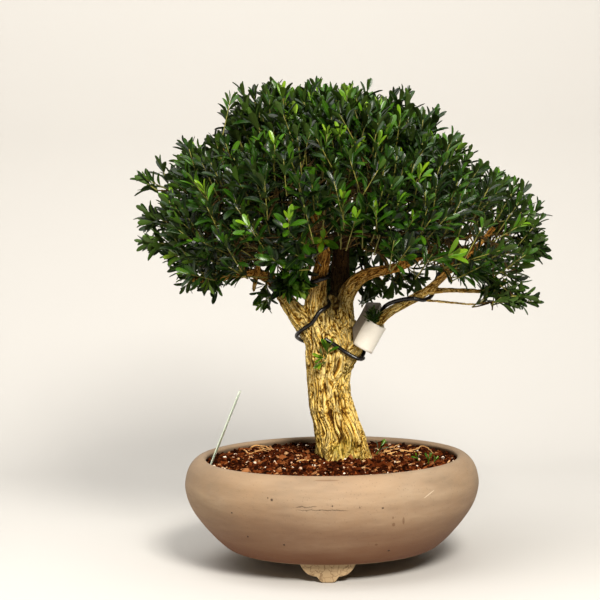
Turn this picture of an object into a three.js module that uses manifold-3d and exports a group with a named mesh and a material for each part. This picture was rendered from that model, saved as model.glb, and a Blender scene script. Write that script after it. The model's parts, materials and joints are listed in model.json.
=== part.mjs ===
/**
 * A boxwood bonsai in a round stoneware pot.
 *
 * Units are millimetres, +Z is up and the pot stands on z = 0. The tree is worked out about
 * the pot's axis, with +X to the right and -Y towards the viewer. At the end the whole group
 * is shifted so that the middle of its footprint is the origin.
 */
import * as THREE from "three";
import { mergeVertices } from "three/addons/utils/BufferGeometryUtils.js";
import Module from "manifold-3d";

const wasm = await Module();
wasm.setup();

// Air between two pieces that touch on the real tree
const CLEARANCE = 0.4;

// Pot: radius and height along the outside, from the lip to the edge of the base
const POT_OUTSIDE = [
  [141.5, 117.4], [147, 118.4], [154.5, 112.5], [159.5, 104], [161, 89], [158.2, 76],
  [152.8, 63], [143.4, 50], [133, 37], [123, 27], [112, 20],
];
// Inside, from the floor up to the lip
const POT_INSIDE = [
  [112, 31], [130, 44], [144, 62], [151, 86], [149.5, 102], [141.5, 114],
];
const BASE_HEIGHT = 20;
const FLOOR_HEIGHT = 30;
const DRAIN_RADIUS = 15;
const POT_SIDES = 36;

// Feet: three shallow scalloped bowls in outline, bent to follow the base
const FOOT_COUNT = 3;
const FOOT_FRONT_RADIUS = 108;
const FOOT_DEPTH = 24;
const FOOT_HALF_WIDTH = 32;
const FOOT_SHOULDER_HEIGHT = 6.5;
const FOOT_SHOULDER_BEND = 26;
const FOOT_TIP_HALF_WIDTH = 12.4;
const FOOT_TIP_BEND = 10.4;
const FOOT_PAD_HALF_WIDTH = 5;
const FOOT_ROOT = 3;
const FOOT_FIRST_TURN = -93;

// Screen over the drain hole and the staple that holds it
const SCREEN_SIDE = 42;
const SCREEN_THICKNESS = 1.6;
const SCREEN_BAR = 4;
const SCREEN_WINDOWS = 2;
const STAPLE_GAUGE = 1.8;
const STAPLE_HALF_SPAN = 10;
const STAPLE_FOOT = 22;

// Soil: radius and height of its top from the edge to the trunk, and of its underside
const SOIL_TOP = [[144, 106], [118, 108], [82, 111], [48, 115], [0, 115]];
const SOIL_SHELF_RADIUS = 30;
const SOIL_FLOOR_RADIUS = 111;
const SOIL_BUMP = 1.2;
const SOIL_SIDES = 24;

// Wood: each limb is a list of [x, y, z, radius]
const TRUNK = [
  [12, 9, 94, 26], [12, 8, 110, 27.5], [10.2, 8, 128, 27], [6.8, 8, 148, 25.8],
  [1.2, 8, 168, 24], [-1.8, 8, 188, 23], [-2.2, 8, 206, 23.4], [0.5, 8, 224, 26], [1, 7, 242, 27],
  [-2, 6, 258, 26], [-4, 6, 272, 20],
];
const LIMBS = {
  low_left: [
    [-8, 3, 238, 15], [-24, 0, 262, 13], [-40, -4, 281, 9.4], [-52, -6, 298, 7.6],
    [-64, -7, 313, 6.2], [-80, -8, 320, 5.2], [-97, -9, 319, 4.3], [-116, -8, 316, 3.8],
    [-137, -6, 313, 3.2], [-157, -4, 316, 2.8],
  ],
  left_stem: [
    [-6, 3, 250, 16], [-14, -2, 277, 13], [-14, -4, 292, 11.2], [-10, -4, 317, 8.4],
    [-5, -4, 340, 7.2], [-8, -4, 362, 6.2], [-14, -6, 384, 5.2], [-24, -8, 408, 4.2],
    [-34, -10, 440, 3.2],
  ],
  back_stem: [
    [8, 9, 250, 17], [9, 12, 272, 14], [12, 14, 299, 10.8], [13, 15, 330, 9.4],
    [15, 16, 358, 8.2], [18, 18, 392, 6.6], [12, 16, 430, 4.8], [6, 12, 462, 3.6],
  ],
  right_stem: [
    [12, 5, 248, 15], [15, 3, 268, 12], [17, 2, 287, 9.6], [23, 2, 301, 8.6],
    [33, 2, 312, 7.4], [46, 1, 318, 6.2], [62, 0, 321, 5.2], [79, 0, 325, 4.7],
    [95, 2, 332, 4.2], [122, 6, 350, 3.6], [142, 8, 370, 3.0],
  ],
  low_right: [
    [10, 0, 214, 12], [18, -6, 224, 10], [27, -11, 236, 8.4], [39, -14, 251, 7],
    [55, -14, 268, 5.8], [67, -14, 277, 5.2], [80, -14, 284, 4.8], [93, -14, 291, 5],
    [104, -14, 297, 4.8], [114, -13, 305, 4.4], [124, -12, 314, 4], [138, -10, 327, 3.7],
    [154, -8, 339, 3.2], [168, -6, 352, 2.9], [180, -6, 366, 2.6],
  ],
  low_right_fork: [[102, -14, 297, 3.6], [126, -16, 299, 2.8], [155, -18, 298, 2.5], [184, -21, 296, 2.2]],
  low_right_twig: [
    [92, -17, 289, 1.8], [110, -19, 288, 1.6], [131, -21, 286, 1.5], [153, -22, 284, 1.4],
    [178, -24, 286, 1.4], [194, -24, 289, 1.3],
  ],
  snag: [[-82, -15, 300, 1.6], [-79, -12, 316, 3.2], [-75, -14, 334, 3], [-73, -15, 347, 2.6]],
  stub: [[78, 0, 324, 4.6], [80, -4, 330, 4], [82, -7, 336, 3.4]],
};
// Limbs that a twig may grow from
const BEARERS = ["low_left", "left_stem", "back_stem", "right_stem", "low_right", "low_right_fork"];
const TRUNK_SIDES = 20;
const TRUNK_FURROW = 0.065;
const LIMB_SIDES = 6;
const TWIG_SIDES = 3;
const TWIG_RADIUS = 3.2;
const TWIG_SAG = 5;
// Share of its foot's radius that a twig may have, then its taper to the middle and the end
const TWIG_SHARE = 0.85;
const TWIG_TAPER = [0.9, 0.75];
const ROOT_SIDES = 5;

// Root flare: heading in degrees about the trunk and how far each root reaches
const ROOTS = [[-35, 46], [-112, 40], [140, 36], [75, 38]];
const ROOT_TOP = 152;
const ROOT_RADIUS = 8.5;

// Crown: reach from its centre to the leaf tips, every 30 degrees seen from the front,
// starting at the right and turning towards the top
const CROWN_CENTRE = new THREE.Vector3(8, 0, 387);
const CROWN_REACH = [242, 168, 150, 146, 162, 180, 224, 186, 126, 88, 112, 205];
const CROWN_HALF_DEPTH = 192;
const TIERS = [
  { name: "spray_apex", count: 1, rise: 90, first: 0, shoots: 3 },
  { name: "spray_upper", count: 5, rise: 50, first: 70, shoots: 2 },
  { name: "spray_middle", count: 9, rise: 17, first: 10, shoots: 2 },
  { name: "spray_lower", count: 10, rise: -11, first: -72, shoots: 3 },
];
const CORE_DEPTH = 66;
const CORE_RADII = [31, 31, 22];
const CORE_LUMP = 0.16;
// Sprays further apart than this have no wall between them
const NEIGHBOUR_RANGE = 190;
const LOW_SPRAY_CENTRE = new THREE.Vector3(198, -24, 293);
const LOW_SPRAY_RADII = [14, 14, 11];
const LOW_SPRAY_REACH = 38;
const LOW_SPRAY_LEAF_SCALE = 0.75;

// Leaves: opposite pairs, each pair turned a quarter from the one below
const LEAF_LENGTH = 34;
const LEAF_WIDTH = 15;
const LEAF_THICKNESS = 0.8;
const LEAF_DROOP = 0.16;
// Share of the leaf's length and half its width there, for its broad part and its blunt tip
const LEAF_OUTLINE = [[0.6, 0.5], [1, 0.2]];
// Place of each pair along the shoot and its lean from the stem in degrees
const PAIR_PLACES = [0.66, 0.83, 0.98];
const PAIR_SPREADS = [72, 60, 40];
// How much shorter and narrower each pair is than the one below
const PAIR_SHORTENING = 0.12;
const PAIR_NARROWING = 0.08;
const STEM_RADIUS = 1.3;
// Shoots lean out of their spray's direction by this share, least and most
const SHOOT_LEAN = [0.22, 0.5];
// Where a shoot starts between its spray's middle and its tip, and how far short of the
// crown's edge the stem ends
const SHOOT_START = 0.3;
const SHOOT_INSET = 15;
const AIMING_TRIES = 60;

// A small shoot that sprouts from the front of the trunk
const SPROUT_FOOT = new THREE.Vector3(-3, -12, 222);
const SPROUT_TIP = new THREE.Vector3(-5, -33, 233);
const SPROUT_TURN = 0.3;
const SPROUT_SCALE = 0.36;

// Wires
const WIRE_RADIUS = 2.25;
const WIRE_SIDES = 5;
const WIRE_STEP = 8;
const WIRE_GROOVE = 0.3;
// Degrees between the points of a turn, and the air between a turn and the limb it holds
const WIRE_TURN_STEP = 30;
const WIRE_AIR = 0.7;
// Hand-laid start of each wire, then its turns as [share of the limb's length, degrees round it];
// 0 degrees is the front and 90 the right or the underside
const LEFT_WIRE_START = [
  [2, 38.5, 238], [-21, 29.5, 240], [-32, 13, 245], [-36, -4, 251], [-30, -17, 258],
  [-19, -19.5, 266],
];
const LEFT_WIRE_TURNS = [
  [0.14, 10], [0.21, 80], [0.27, 180], [0.32, 270], [0.345, 350], [0.39, 450], [0.44, 560],
  [0.5, 660], [0.56, 760],
];
const RIGHT_WIRE_START = [[-6, 249], [4, 243], [13, 236.5]];
const RIGHT_WIRE_UNDER = [[22, -20.5, 230.5], [30, -20.5, 226.5], [36, -16.5, 226.5]];
const RIGHT_WIRE_TURNS = [
  [0.125, 80], [0.143, 100], [0.17, 150], [0.26, 172], [0.31, 215], [0.36, 265], [0.41, 300],
  [0.47, 335], [0.56, 430], [0.66, 540], [0.74, 610],
];

// Blank strip looped round the low right branch
const STRIP_WIDTH = 31;
const STRIP_THICKNESS = 0.8;
const STRIP_RADIUS = 11.5;
const STRIP_LEFT_DEPTH = 19;
const STRIP_RIGHT_DEPTH = 28;
const STRIP_RIGHT_CORNER = 9;
const STRIP_FOLD = 2.5;
const STRIP_SLANT = 0.73;
const STRIP_MIDDLE = new THREE.Vector3(42.6, -15.3, 250.6);
const STRIP_DIRECTION = new THREE.Vector3(0.5, 0, 0.866);
const STRIP_BACKWARDS = new THREE.Vector3(-0.4, 0.89, 0.2);

// Clear stake in the soil
const STAKE_FOOT = new THREE.Vector3(-140, -20, 92);
const STAKE_TOP = new THREE.Vector3(-98, -20, 193);
const STAKE_WIDTH = 13;
const STAKE_THICKNESS = 1.4;
const STAKE_TURN = 82;
const STAKE_TAPER = 40;
const STAKE_POINT = 1.5;

const MATERIALS = {
  stoneware: { color: 0x8a7765, roughness: 0.75, metalness: 0 },
  soil: { color: 0x3b2118, roughness: 1, metalness: 0 },
  bark: { color: 0x9a6d2f, roughness: 0.9, metalness: 0 },
  leaf: { color: 0x2f4a17, roughness: 0.35, metalness: 0 },
  wire: { color: 0x15130f, roughness: 0.45, metalness: 0.3 },
  strip: { color: 0xf4efe4, roughness: 0.5, metalness: 0 },
  clear_plastic: { color: 0xdfe9cf, roughness: 0.2, metalness: 0 },
  screen: { color: 0x1d3a2b, roughness: 0.6, metalness: 0 },
};

/** A generator of numbers from 0 to 1 that gives the same ones every run. */
function drawFrom(seed) {
  let state = seed;
  return () => {
    state = (state + 0x6d2b79f5) | 0;
    let mixed = Math.imul(state ^ (state >>> 15), 1 | state);
    mixed = (mixed + Math.imul(mixed ^ (mixed >>> 7), 61 | mixed)) ^ mixed;
    return ((mixed ^ (mixed >>> 14)) >>> 0) / 4294967296;
  };
}

const radians = THREE.MathUtils.degToRad;
const mix = THREE.MathUtils.lerp;

/** A closed geometry as a solid, with its faces turned outwards. */
function solid(geometry) {
  const bare = geometry.clone();
  bare.deleteAttribute("normal");
  bare.deleteAttribute("uv");
  const merged = mergeVertices(bare, 1e-4);
  const corners = merged.index.array;
  const faces = [];
  for (let i = 0; i < corners.length; i += 3) {
    const [a, b, c] = [corners[i], corners[i + 1], corners[i + 2]];
    if (a !== b && b !== c && c !== a) faces.push(a, b, c);
  }
  const make = (list) => new wasm.Manifold(new wasm.Mesh({
    numProp: 3,
    vertProperties: new Float32Array(merged.attributes.position.array),
    triVerts: new Uint32Array(list),
  }));
  const body = make(faces);
  return body.volume() > 0 ? body : make(faces.reverse());
}

/** Moves every vertex of a geometry by a formula of its place. */
function bend(geometry, formula) {
  const place = geometry.attributes.position;
  const point = new THREE.Vector3();
  for (let i = 0; i < place.count; i++) {
    point.fromBufferAttribute(place, i);
    const moved = formula(point.clone());
    place.setXYZ(i, moved.x, moved.y, moved.z);
  }
  return geometry;
}

/** The largest of the separate bodies that a cut leaves. */
function largest(body) {
  return body.decompose().reduce((best, other) => (other.volume() > best.volume() ? other : best));
}

/** A named mesh of a solid. */
function piece(name, body, material) {
  const { vertProperties, triVerts } = body.getMesh();
  const geometry = new THREE.BufferGeometry();
  geometry.setAttribute("position", new THREE.BufferAttribute(new Float32Array(vertProperties), 3));
  geometry.setIndex(new THREE.BufferAttribute(new Uint32Array(triVerts), 1));
  geometry.computeVertexNormals();
  const finish = new THREE.MeshStandardMaterial({ ...MATERIALS[material], name: material });
  const mesh = new THREE.Mesh(geometry, finish);
  mesh.name = name;
  return mesh;
}

/** A turned body from a profile of [radius, height], with its axis along Z. */
function turned(profile, sides) {
  const points = profile.map(([radius, height]) => new THREE.Vector2(radius, height));
  return new THREE.LatheGeometry(points, sides).rotateX(Math.PI / 2);
}

/** The pot's wall, its floor with the drain hole, and its three feet. */
function makePot() {
  const profile = [
    ...POT_OUTSIDE, [DRAIN_RADIUS, BASE_HEIGHT], [DRAIN_RADIUS, FLOOR_HEIGHT],
    ...POT_INSIDE, POT_OUTSIDE[0],
  ];
  let pot = solid(turned(profile, POT_SIDES));
  for (let i = 0; i < FOOT_COUNT; i++) {
    const turn = radians(FOOT_FIRST_TURN + (i * 360) / FOOT_COUNT);
    pot = pot.add(solid(footBlank().rotateZ(turn)));
  }
  return pot;
}

/** One foot, pointing along +X: a scalloped outline given depth and bent round the pot's axis. */
function footBlank() {
  const top = BASE_HEIGHT + FOOT_ROOT;
  const [wide, tip, pad] = [FOOT_HALF_WIDTH, FOOT_TIP_HALF_WIDTH, FOOT_PAD_HALF_WIDTH];
  const [shoulder, shoulderBend, tipBend] = [FOOT_SHOULDER_HEIGHT, FOOT_SHOULDER_BEND, FOOT_TIP_BEND];
  const outline = new THREE.Shape();
  outline.moveTo(-wide, top);
  outline.quadraticCurveTo(-shoulderBend, shoulder, -wide * 0.5, shoulder);
  outline.lineTo(-tip, shoulder);
  outline.quadraticCurveTo(-tipBend, 0, -pad, 0);
  outline.lineTo(pad, 0);
  outline.quadraticCurveTo(tipBend, 0, tip, shoulder);
  outline.lineTo(wide * 0.5, shoulder);
  outline.quadraticCurveTo(shoulderBend, shoulder, wide, top);
  const slab = new THREE.ExtrudeGeometry(outline, {
    depth: FOOT_DEPTH, bevelEnabled: false, curveSegments: 4,
  });
  return bend(slab, (p) => {
    const radius = FOOT_FRONT_RADIUS - p.z;
    const turn = p.x / FOOT_FRONT_RADIUS;
    return new THREE.Vector3(radius * Math.cos(turn), radius * Math.sin(turn), p.y);
  });
}

/** A square screen with a grid of windows, lying on the pot's floor over the drain hole. */
function makeScreen() {
  const middle = FLOOR_HEIGHT + CLEARANCE + SCREEN_THICKNESS / 2;
  const block = (x, y, side, height) =>
    solid(new THREE.BoxGeometry(side, side, height).translate(x, y, middle));
  const window = (SCREEN_SIDE - SCREEN_BAR * (SCREEN_WINDOWS + 1)) / SCREEN_WINDOWS;
  let sheet = block(0, 0, SCREEN_SIDE, SCREEN_THICKNESS);
  for (let i = 0; i < SCREEN_WINDOWS; i++) {
    for (let j = 0; j < SCREEN_WINDOWS; j++) {
      const [x, y] = [i, j].map((k) => (k - (SCREEN_WINDOWS - 1) / 2) * (window + SCREEN_BAR));
      sheet = sheet.subtract(block(x, y, window, SCREEN_THICKNESS * 2));
    }
  }
  return sheet;
}

/** The staple: over the screen's middle bar, down through two windows, out under the base. */
function makeStaple() {
  const over = FLOOR_HEIGHT + CLEARANCE * 2 + SCREEN_THICKNESS;
  const under = BASE_HEIGHT - CLEARANCE - STAPLE_GAUGE;
  const [span, foot, gauge] = [STAPLE_HALF_SPAN, STAPLE_FOOT, STAPLE_GAUGE];
  const right = [
    [span - gauge, over], [span - gauge, under], [foot, under], [foot, under + gauge],
    [span, under + gauge], [span, over + gauge],
  ];
  const left = right.map(([x, z]) => [-x, z]).reverse();
  const outline = new THREE.Shape([...right, ...left].map(([x, z]) => new THREE.Vector2(x, z)));
  const strip = new THREE.ExtrudeGeometry(outline, { depth: gauge, bevelEnabled: false });
  return solid(strip.rotateX(Math.PI / 2).translate(0, SCREEN_SIDE / 4, 0));
}

/** Low bumps on the soil, a sum of waves. */
function soilBump(x, y) {
  const coarse = Math.sin(x * 0.061 + 1.3) * Math.cos(y * 0.073 - 0.6);
  const fine = Math.sin(x * 0.17 - y * 0.11) * Math.cos(y * 0.19 + x * 0.05);
  return SOIL_BUMP * (coarse + 0.6 * fine);
}

/** The soil fills the pot, with a plain hole for everything that stands in it. */
function makeSoil(standing) {
  const gap = CLEARANCE;
  const shelf = FLOOR_HEIGHT + SCREEN_THICKNESS + STAPLE_GAUGE + CLEARANCE * 3;
  const [[, edge]] = SOIL_TOP;
  const wall = POT_INSIDE.filter(([, height]) => height > FLOOR_HEIGHT + 5 && height < edge)
    .map(([radius, height]) => [radius - gap * 1.5, height]);
  const bottom = [[0, shelf], [SOIL_SHELF_RADIUS, shelf], [SOIL_FLOOR_RADIUS, FLOOR_HEIGHT + 3]];
  const mound = bend(turned([...bottom, ...wall, ...SOIL_TOP], SOIL_SIDES), (p) => {
    const radius = Math.hypot(p.x, p.y);
    const onTop = p.z >= edge && radius > 1;
    return onTop ? p.setZ(p.z + soilBump(p.x, p.y)) : p;
  });
  return largest(solid(mound).subtract(standing));
}

/** Stations along a limb: centre, two directions across it and its radius. */
function stations(path, steps) {
  const curve = new THREE.CatmullRomCurve3(
    path.map(([x, y, z]) => new THREE.Vector3(x, y, z)), false, "centripetal");
  const across = new THREE.Vector3(0, -1, 0);
  if (Math.abs(curve.getTangent(0).y) > 0.8) across.set(0, 0, 1);
  const result = [];
  for (let i = 0; i <= steps; i++) {
    const along = i / steps;
    const tangent = curve.getTangent(along);
    across.addScaledVector(tangent, -across.dot(tangent)).normalize();
    const place = along * (path.length - 1);
    const index = Math.min(Math.floor(place), path.length - 2);
    result.push({
      centre: curve.getPoint(along),
      tangent,
      across: across.clone(),
      beside: tangent.clone().cross(across),
      radius: mix(path[index][3], path[index + 1][3], place - index),
    });
  }
  return result;
}

/** A limb of round section that tapers along its path, with furrows if furrow is not zero. */
function limb(path, { sides = LIMB_SIDES, steps = path.length - 1, grow = 0, furrow = 0 } = {}) {
  const places = stations(path, steps);
  const rod = new THREE.CylinderGeometry(1, 1, 1, sides, steps);
  bend(rod, (p) => {
    const index = Math.round((p.y + 0.5) * steps);
    const { centre, tangent, across, beside, radius } = places[index];
    const turn = Math.atan2(p.x, p.z);
    const phase = Math.PI * Math.floor(index / 3);
    const ridge = 1 + furrow * Math.cos((turn * sides) / 2 + phase);
    const reach = Math.hypot(p.x, p.z) * (radius * ridge + grow);
    const end = index === 0 ? -grow : index === steps ? grow : 0;
    return centre.clone()
      .addScaledVector(across, reach * Math.cos(turn))
      .addScaledVector(beside, reach * Math.sin(turn))
      .addScaledVector(tangent, end);
  });
  return solid(rod);
}

/** Roots that leave the trunk low down and dive into the soil. */
function rootPaths() {
  const [, [middleX, middleY]] = TRUNK;
  return ROOTS.map(([azimuth, reach]) => {
    const away = heading(azimuth, 0);
    const at = (distance, height, radius) =>
      [middleX + away.x * distance, middleY + away.y * distance, height, radius];
    return [
      at(14, ROOT_TOP, ROOT_RADIUS * 0.7), at(23, ROOT_TOP - 24, ROOT_RADIUS),
      at(30, 113, ROOT_RADIUS), at(reach, 98, ROOT_RADIUS * 0.8),
    ];
  });
}

/** Reach of the crown from its centre along a direction. */
function crownReach(direction) {
  const angle = THREE.MathUtils.euclideanModulo(Math.atan2(direction.z, direction.x), 2 * Math.PI);
  const place = (angle / (2 * Math.PI)) * CROWN_REACH.length;
  const index = Math.floor(place) % CROWN_REACH.length;
  const next = CROWN_REACH[(index + 1) % CROWN_REACH.length];
  const front = mix(CROWN_REACH[index], next, (1 - Math.cos(Math.PI * (place % 1))) / 2);
  const flat = direction.x ** 2 + direction.z ** 2;
  return 1 / Math.sqrt(flat / front ** 2 + (direction.y / CROWN_HALF_DEPTH) ** 2);
}

/** A unit direction from its azimuth and its rise above level, in degrees. */
function heading(azimuth, rise) {
  const level = Math.cos(radians(rise));
  return new THREE.Vector3(
    level * Math.cos(radians(azimuth)), level * Math.sin(radians(azimuth)), Math.sin(radians(rise)));
}

/** The place, direction and size of every spray of the crown. */
function sprayPlan() {
  const plan = [];
  for (const { name, count, rise, first, shoots } of TIERS) {
    for (let i = 0; i < count; i++) {
      const direction = heading(first + (i * 360) / count, rise);
      const out = crownReach(direction) - CORE_DEPTH;
      plan.push({
        name: count === 1 ? name : `${name}_${i + 1}`,
        direction,
        centre: CROWN_CENTRE.clone().addScaledVector(direction, out),
        radii: CORE_RADII,
        leafScale: 1,
        shoots,
      });
    }
  }
  plan.push({
    name: "spray_low_right",
    direction: heading(-8, -20),
    centre: LOW_SPRAY_CENTRE,
    radii: LOW_SPRAY_RADII,
    reach: LOW_SPRAY_REACH,
    leafScale: LOW_SPRAY_LEAF_SCALE,
    shoots: 3,
  });
  return plan;
}

/** A twig for each spray that no limb reaches, from the nearest point of a limb to its middle. */
function twigPaths(plan) {
  const feet = BEARERS.flatMap((name) => stations(LIMBS[name], 24).slice(4));
  return plan.flatMap(({ centre, radii }) => {
    const cost = (foot) => {
      const above = Math.max(0, foot.centre.z - centre.z);
      return foot.centre.distanceTo(centre) + above;
    };
    const foot = feet.reduce((best, other) => (cost(other) < cost(best) ? other : best));
    if (foot.centre.distanceTo(centre) < radii[2]) return [];
    const middle = foot.centre.clone().lerp(centre, 0.5);
    middle.z -= TWIG_SAG;
    const radius = Math.min(TWIG_RADIUS, foot.radius * TWIG_SHARE);
    return [[
      [...foot.centre.toArray(), radius], [...middle.toArray(), radius * TWIG_TAPER[0]],
      [...centre.toArray(), radius * TWIG_TAPER[1]],
    ]];
  });
}

/** All the wood as one solid. With grow it is that much fatter, for cutting clearances. */
function makeWood(twigs, grow = 0) {
  const parts = [limb(TRUNK, { sides: TRUNK_SIDES, furrow: TRUNK_FURROW, grow })];
  for (const path of rootPaths()) parts.push(limb(path, { sides: ROOT_SIDES, grow }));
  for (const path of Object.values(LIMBS)) {
    const slender = path[0][3] < 4;
    parts.push(limb(path, { sides: slender ? LIMB_SIDES - 1 : LIMB_SIDES, grow }));
  }
  const twigGrow = grow / Math.cos(Math.PI / TWIG_SIDES);
  for (const path of twigs) parts.push(limb(path, { sides: TWIG_SIDES, steps: 2, grow: twigGrow }));
  return parts.reduce((joined, part) => joined.add(part));
}

/** Corners of a leaf's section at a share of its length, seen from the stem along +X. */
function leafSection(along, half, length, width, spread) {
  const [out, up] = [Math.sin(radians(spread)), Math.cos(radians(spread))];
  const x = along * out * length + STEM_RADIUS;
  const z = (along * up - LEAF_DROOP * along * along) * length;
  const thick = LEAF_THICKNESS / out;
  const side = half * width;
  return [[x, -side, z], [x, side, z], [x, side, z + thick], [x, -side, z + thick]];
}

/** A shoot along +Z in one closed mesh: a square stem whose sides draw out into leaves. */
function shootGeometry(reach, turn, scale) {
  const points = [];
  const faces = [];
  const quad = (a, b, c, d) => faces.push(a, b, c, a, c, d);
  const addRing = (corners) => corners.map(([x, y, z]) => points.push(x, y, z) / 3 - 1);
  const spin = (angle) => ([x, y, z]) => [
    x * Math.cos(angle) - y * Math.sin(angle), x * Math.sin(angle) + y * Math.cos(angle), z];
  const stemRing = (z) => addRing([0, 1, 2, 3].map((k) => {
    const angle = turn + (k - 0.5) * (Math.PI / 2);
    return [STEM_RADIUS * Math.cos(angle), STEM_RADIUS * Math.sin(angle), z];
  }));
  const join = (low, high) => low.forEach((_, k) => {
    const next = (k + 1) % low.length;
    quad(low[k], low[next], high[next], high[k]);
  });

  let below = stemRing(0);
  quad(below[3], below[2], below[1], below[0]);
  PAIR_PLACES.forEach((place, i) => {
    const bottom = stemRing(place * reach);
    const top = stemRing(place * reach + LEAF_THICKNESS);
    join(below, bottom);
    [0, 1, 2, 3].forEach((k) => {
      const next = (k + 1) % 4;
      if (k % 2 !== i % 2) {
        quad(bottom[k], bottom[next], top[next], top[k]);
        return;
      }
      const face = spin(turn + (k * Math.PI) / 2);
      const length = LEAF_LENGTH * scale * (1 - PAIR_SHORTENING * i);
      const width = LEAF_WIDTH * scale * (1 - PAIR_NARROWING * i);
      const size = [length, width, PAIR_SPREADS[i]];
      const lift = ([x, y, z]) => face([x, y, z + place * reach]);
      let inner = [bottom[k], bottom[next], top[next], top[k]];
      for (const [along, half] of LEAF_OUTLINE) {
        const outer = addRing(leafSection(along, half, ...size).map(lift));
        join(inner, outer);
        inner = outer;
      }
      quad(inner[0], inner[1], inner[2], inner[3]);
    });
    below = top;
  });
  quad(below[0], below[1], below[2], below[3]);

  const geometry = new THREE.BufferGeometry();
  geometry.setAttribute("position", new THREE.Float32BufferAttribute(points, 3));
  geometry.setIndex(faces);
  return geometry;
}

/** A shoot from root to tip. */
function shoot(root, tip, turn, scale) {
  const rod = shootGeometry(root.distanceTo(tip), turn, scale);
  const aim = new THREE.Quaternion().setFromUnitVectors(
    new THREE.Vector3(0, 0, 1), tip.clone().sub(root).normalize());
  return solid(rod.applyQuaternion(aim).translate(...root.toArray()));
}

/** Planes halfway to each near neighbour, which a spray stays behind. */
function cellWalls(spray, plan) {
  const walls = [];
  for (const other of plan) {
    const apart = spray.centre.distanceTo(other.centre);
    if (other === spray || apart > NEIGHBOUR_RANGE) continue;
    const normal = spray.centre.clone().sub(other.centre).normalize();
    const share = (apart + spray.radii[0] - other.radii[0]) / (2 * apart);
    const wall = spray.centre.clone().lerp(other.centre, share);
    walls.push({ normal, offset: normal.dot(wall) + CLEARANCE });
  }
  return walls;
}

/** The lumpy heart of a spray, flattened along its outward direction. */
function sprayCore(spray, draw) {
  const phase = [draw() * 6, draw() * 6, draw() * 6];
  const [rx, ry, rz] = spray.radii;
  const ball = bend(new THREE.DodecahedronGeometry(1.06), (p) => {
    const lump = 1 + CORE_LUMP * (Math.sin(p.x * 4 + phase[0]) + Math.sin(p.y * 4 + phase[1])
      + Math.sin(p.z * 4 + phase[2])) / 1.7;
    return new THREE.Vector3(p.x * rx, p.y * ry, p.z * rz).multiplyScalar(lump);
  });
  const turn = new THREE.Quaternion().setFromUnitVectors(new THREE.Vector3(0, 0, 1), spray.direction);
  ball.applyQuaternion(turn).translate(...spray.centre.toArray());
  return solid(ball);
}

/** True if every corner of a body lies inside the walls of its cell. */
function fits(body, walls) {
  const { vertProperties } = body.getMesh();
  for (let i = 0; i < vertProperties.length; i += 3) {
    const point = new THREE.Vector3().fromArray(vertProperties, i);
    if (walls.some(({ normal, offset }) => normal.dot(point) < offset)) return false;
  }
  return true;
}

/** Shoot tips at the crown's edge, spread round the spray's own direction. */
function aimShoot(spray, walls, grown, index, draw) {
  for (let attempt = 0; attempt < AIMING_TRIES; attempt++) {
    const around = ((index + draw() * 0.7) / spray.shoots) * 2 * Math.PI;
    const loose = 1 - attempt / AIMING_TRIES;
    const straight = index === 0 && spray.shoots === 3;
    const lean = straight ? 0.12 * draw() : mix(...SHOOT_LEAN, draw()) * loose;
    const sideways = new THREE.Vector3(-spray.direction.y, spray.direction.x, 0);
    if (sideways.length() < 0.1) sideways.set(1, 0, 0);
    sideways.normalize().applyAxisAngle(spray.direction, around);
    const aim = spray.direction.clone().addScaledVector(sideways, lean);
    aim.normalize();
    const tip = spray.reach ? spray.centre.clone().addScaledVector(aim, spray.reach)
      : aim.multiplyScalar(crownReach(aim) - SHOOT_INSET).add(CROWN_CENTRE);
    const root = spray.centre.clone().lerp(tip, SHOOT_START);
    const body = shoot(root, tip, draw() * Math.PI, spray.leafScale * mix(0.7, 1, loose));
    const apart = grown.every((other) => other.intersect(body).isEmpty());
    if (apart && fits(body, walls)) return body;
  }
  return null;
}

/** One leafy spray: its heart, kept in its cell, and its shoots, clear of the wood. */
function makeSpray(spray, plan, inTheWay, draw) {
  const walls = cellWalls(spray, plan);
  let body = sprayCore(spray, draw);
  for (const { normal, offset } of walls) body = body.trimByPlane(normal.toArray(), offset);
  const grown = [];
  for (let i = 0; i < spray.shoots; i++) {
    const next = aimShoot(spray, walls, grown, i, draw);
    if (next) grown.push(next);
  }
  for (const next of grown) body = body.add(next);
  return largest(body.subtract(inTheWay));
}

/** A bent rod along points, as a wire is. With grow it is that much fatter. */
function wireRod(points, grow = 0) {
  const curve = new THREE.CatmullRomCurve3(points, false, "centripetal");
  const corner = (k) => {
    const angle = (k * 2 * Math.PI) / WIRE_SIDES;
    return new THREE.Vector2(Math.cos(angle), Math.sin(angle)).multiplyScalar(WIRE_RADIUS + grow);
  };
  const ring = new THREE.Shape(Array.from({ length: WIRE_SIDES }, (_, k) => corner(k)));
  const steps = Math.round(curve.getLength() / WIRE_STEP);
  return solid(new THREE.ExtrudeGeometry(ring, { steps, extrudePath: curve, bevelEnabled: false }));
}

/** Points of a wire's turns round a limb. */
function coil(path, turns) {
  const places = stations(path, 200);
  return turns.slice(1).flatMap(([share, angle], i) => {
    const [fromShare, fromAngle] = turns[i];
    const count = Math.ceil((angle - fromAngle) / WIRE_TURN_STEP);
    return Array.from({ length: count }, (_, k) => {
      const part = (k + 1) / count;
      const { centre, across, beside, radius } = places[Math.round(mix(fromShare, share, part) * 200)];
      const turn = radians(mix(fromAngle, angle, part));
      const reach = radius + WIRE_RADIUS + WIRE_AIR;
      return centre.clone()
        .addScaledVector(across, reach * Math.cos(turn))
        .addScaledVector(beside, reach * Math.sin(turn));
    });
  });
}

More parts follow.
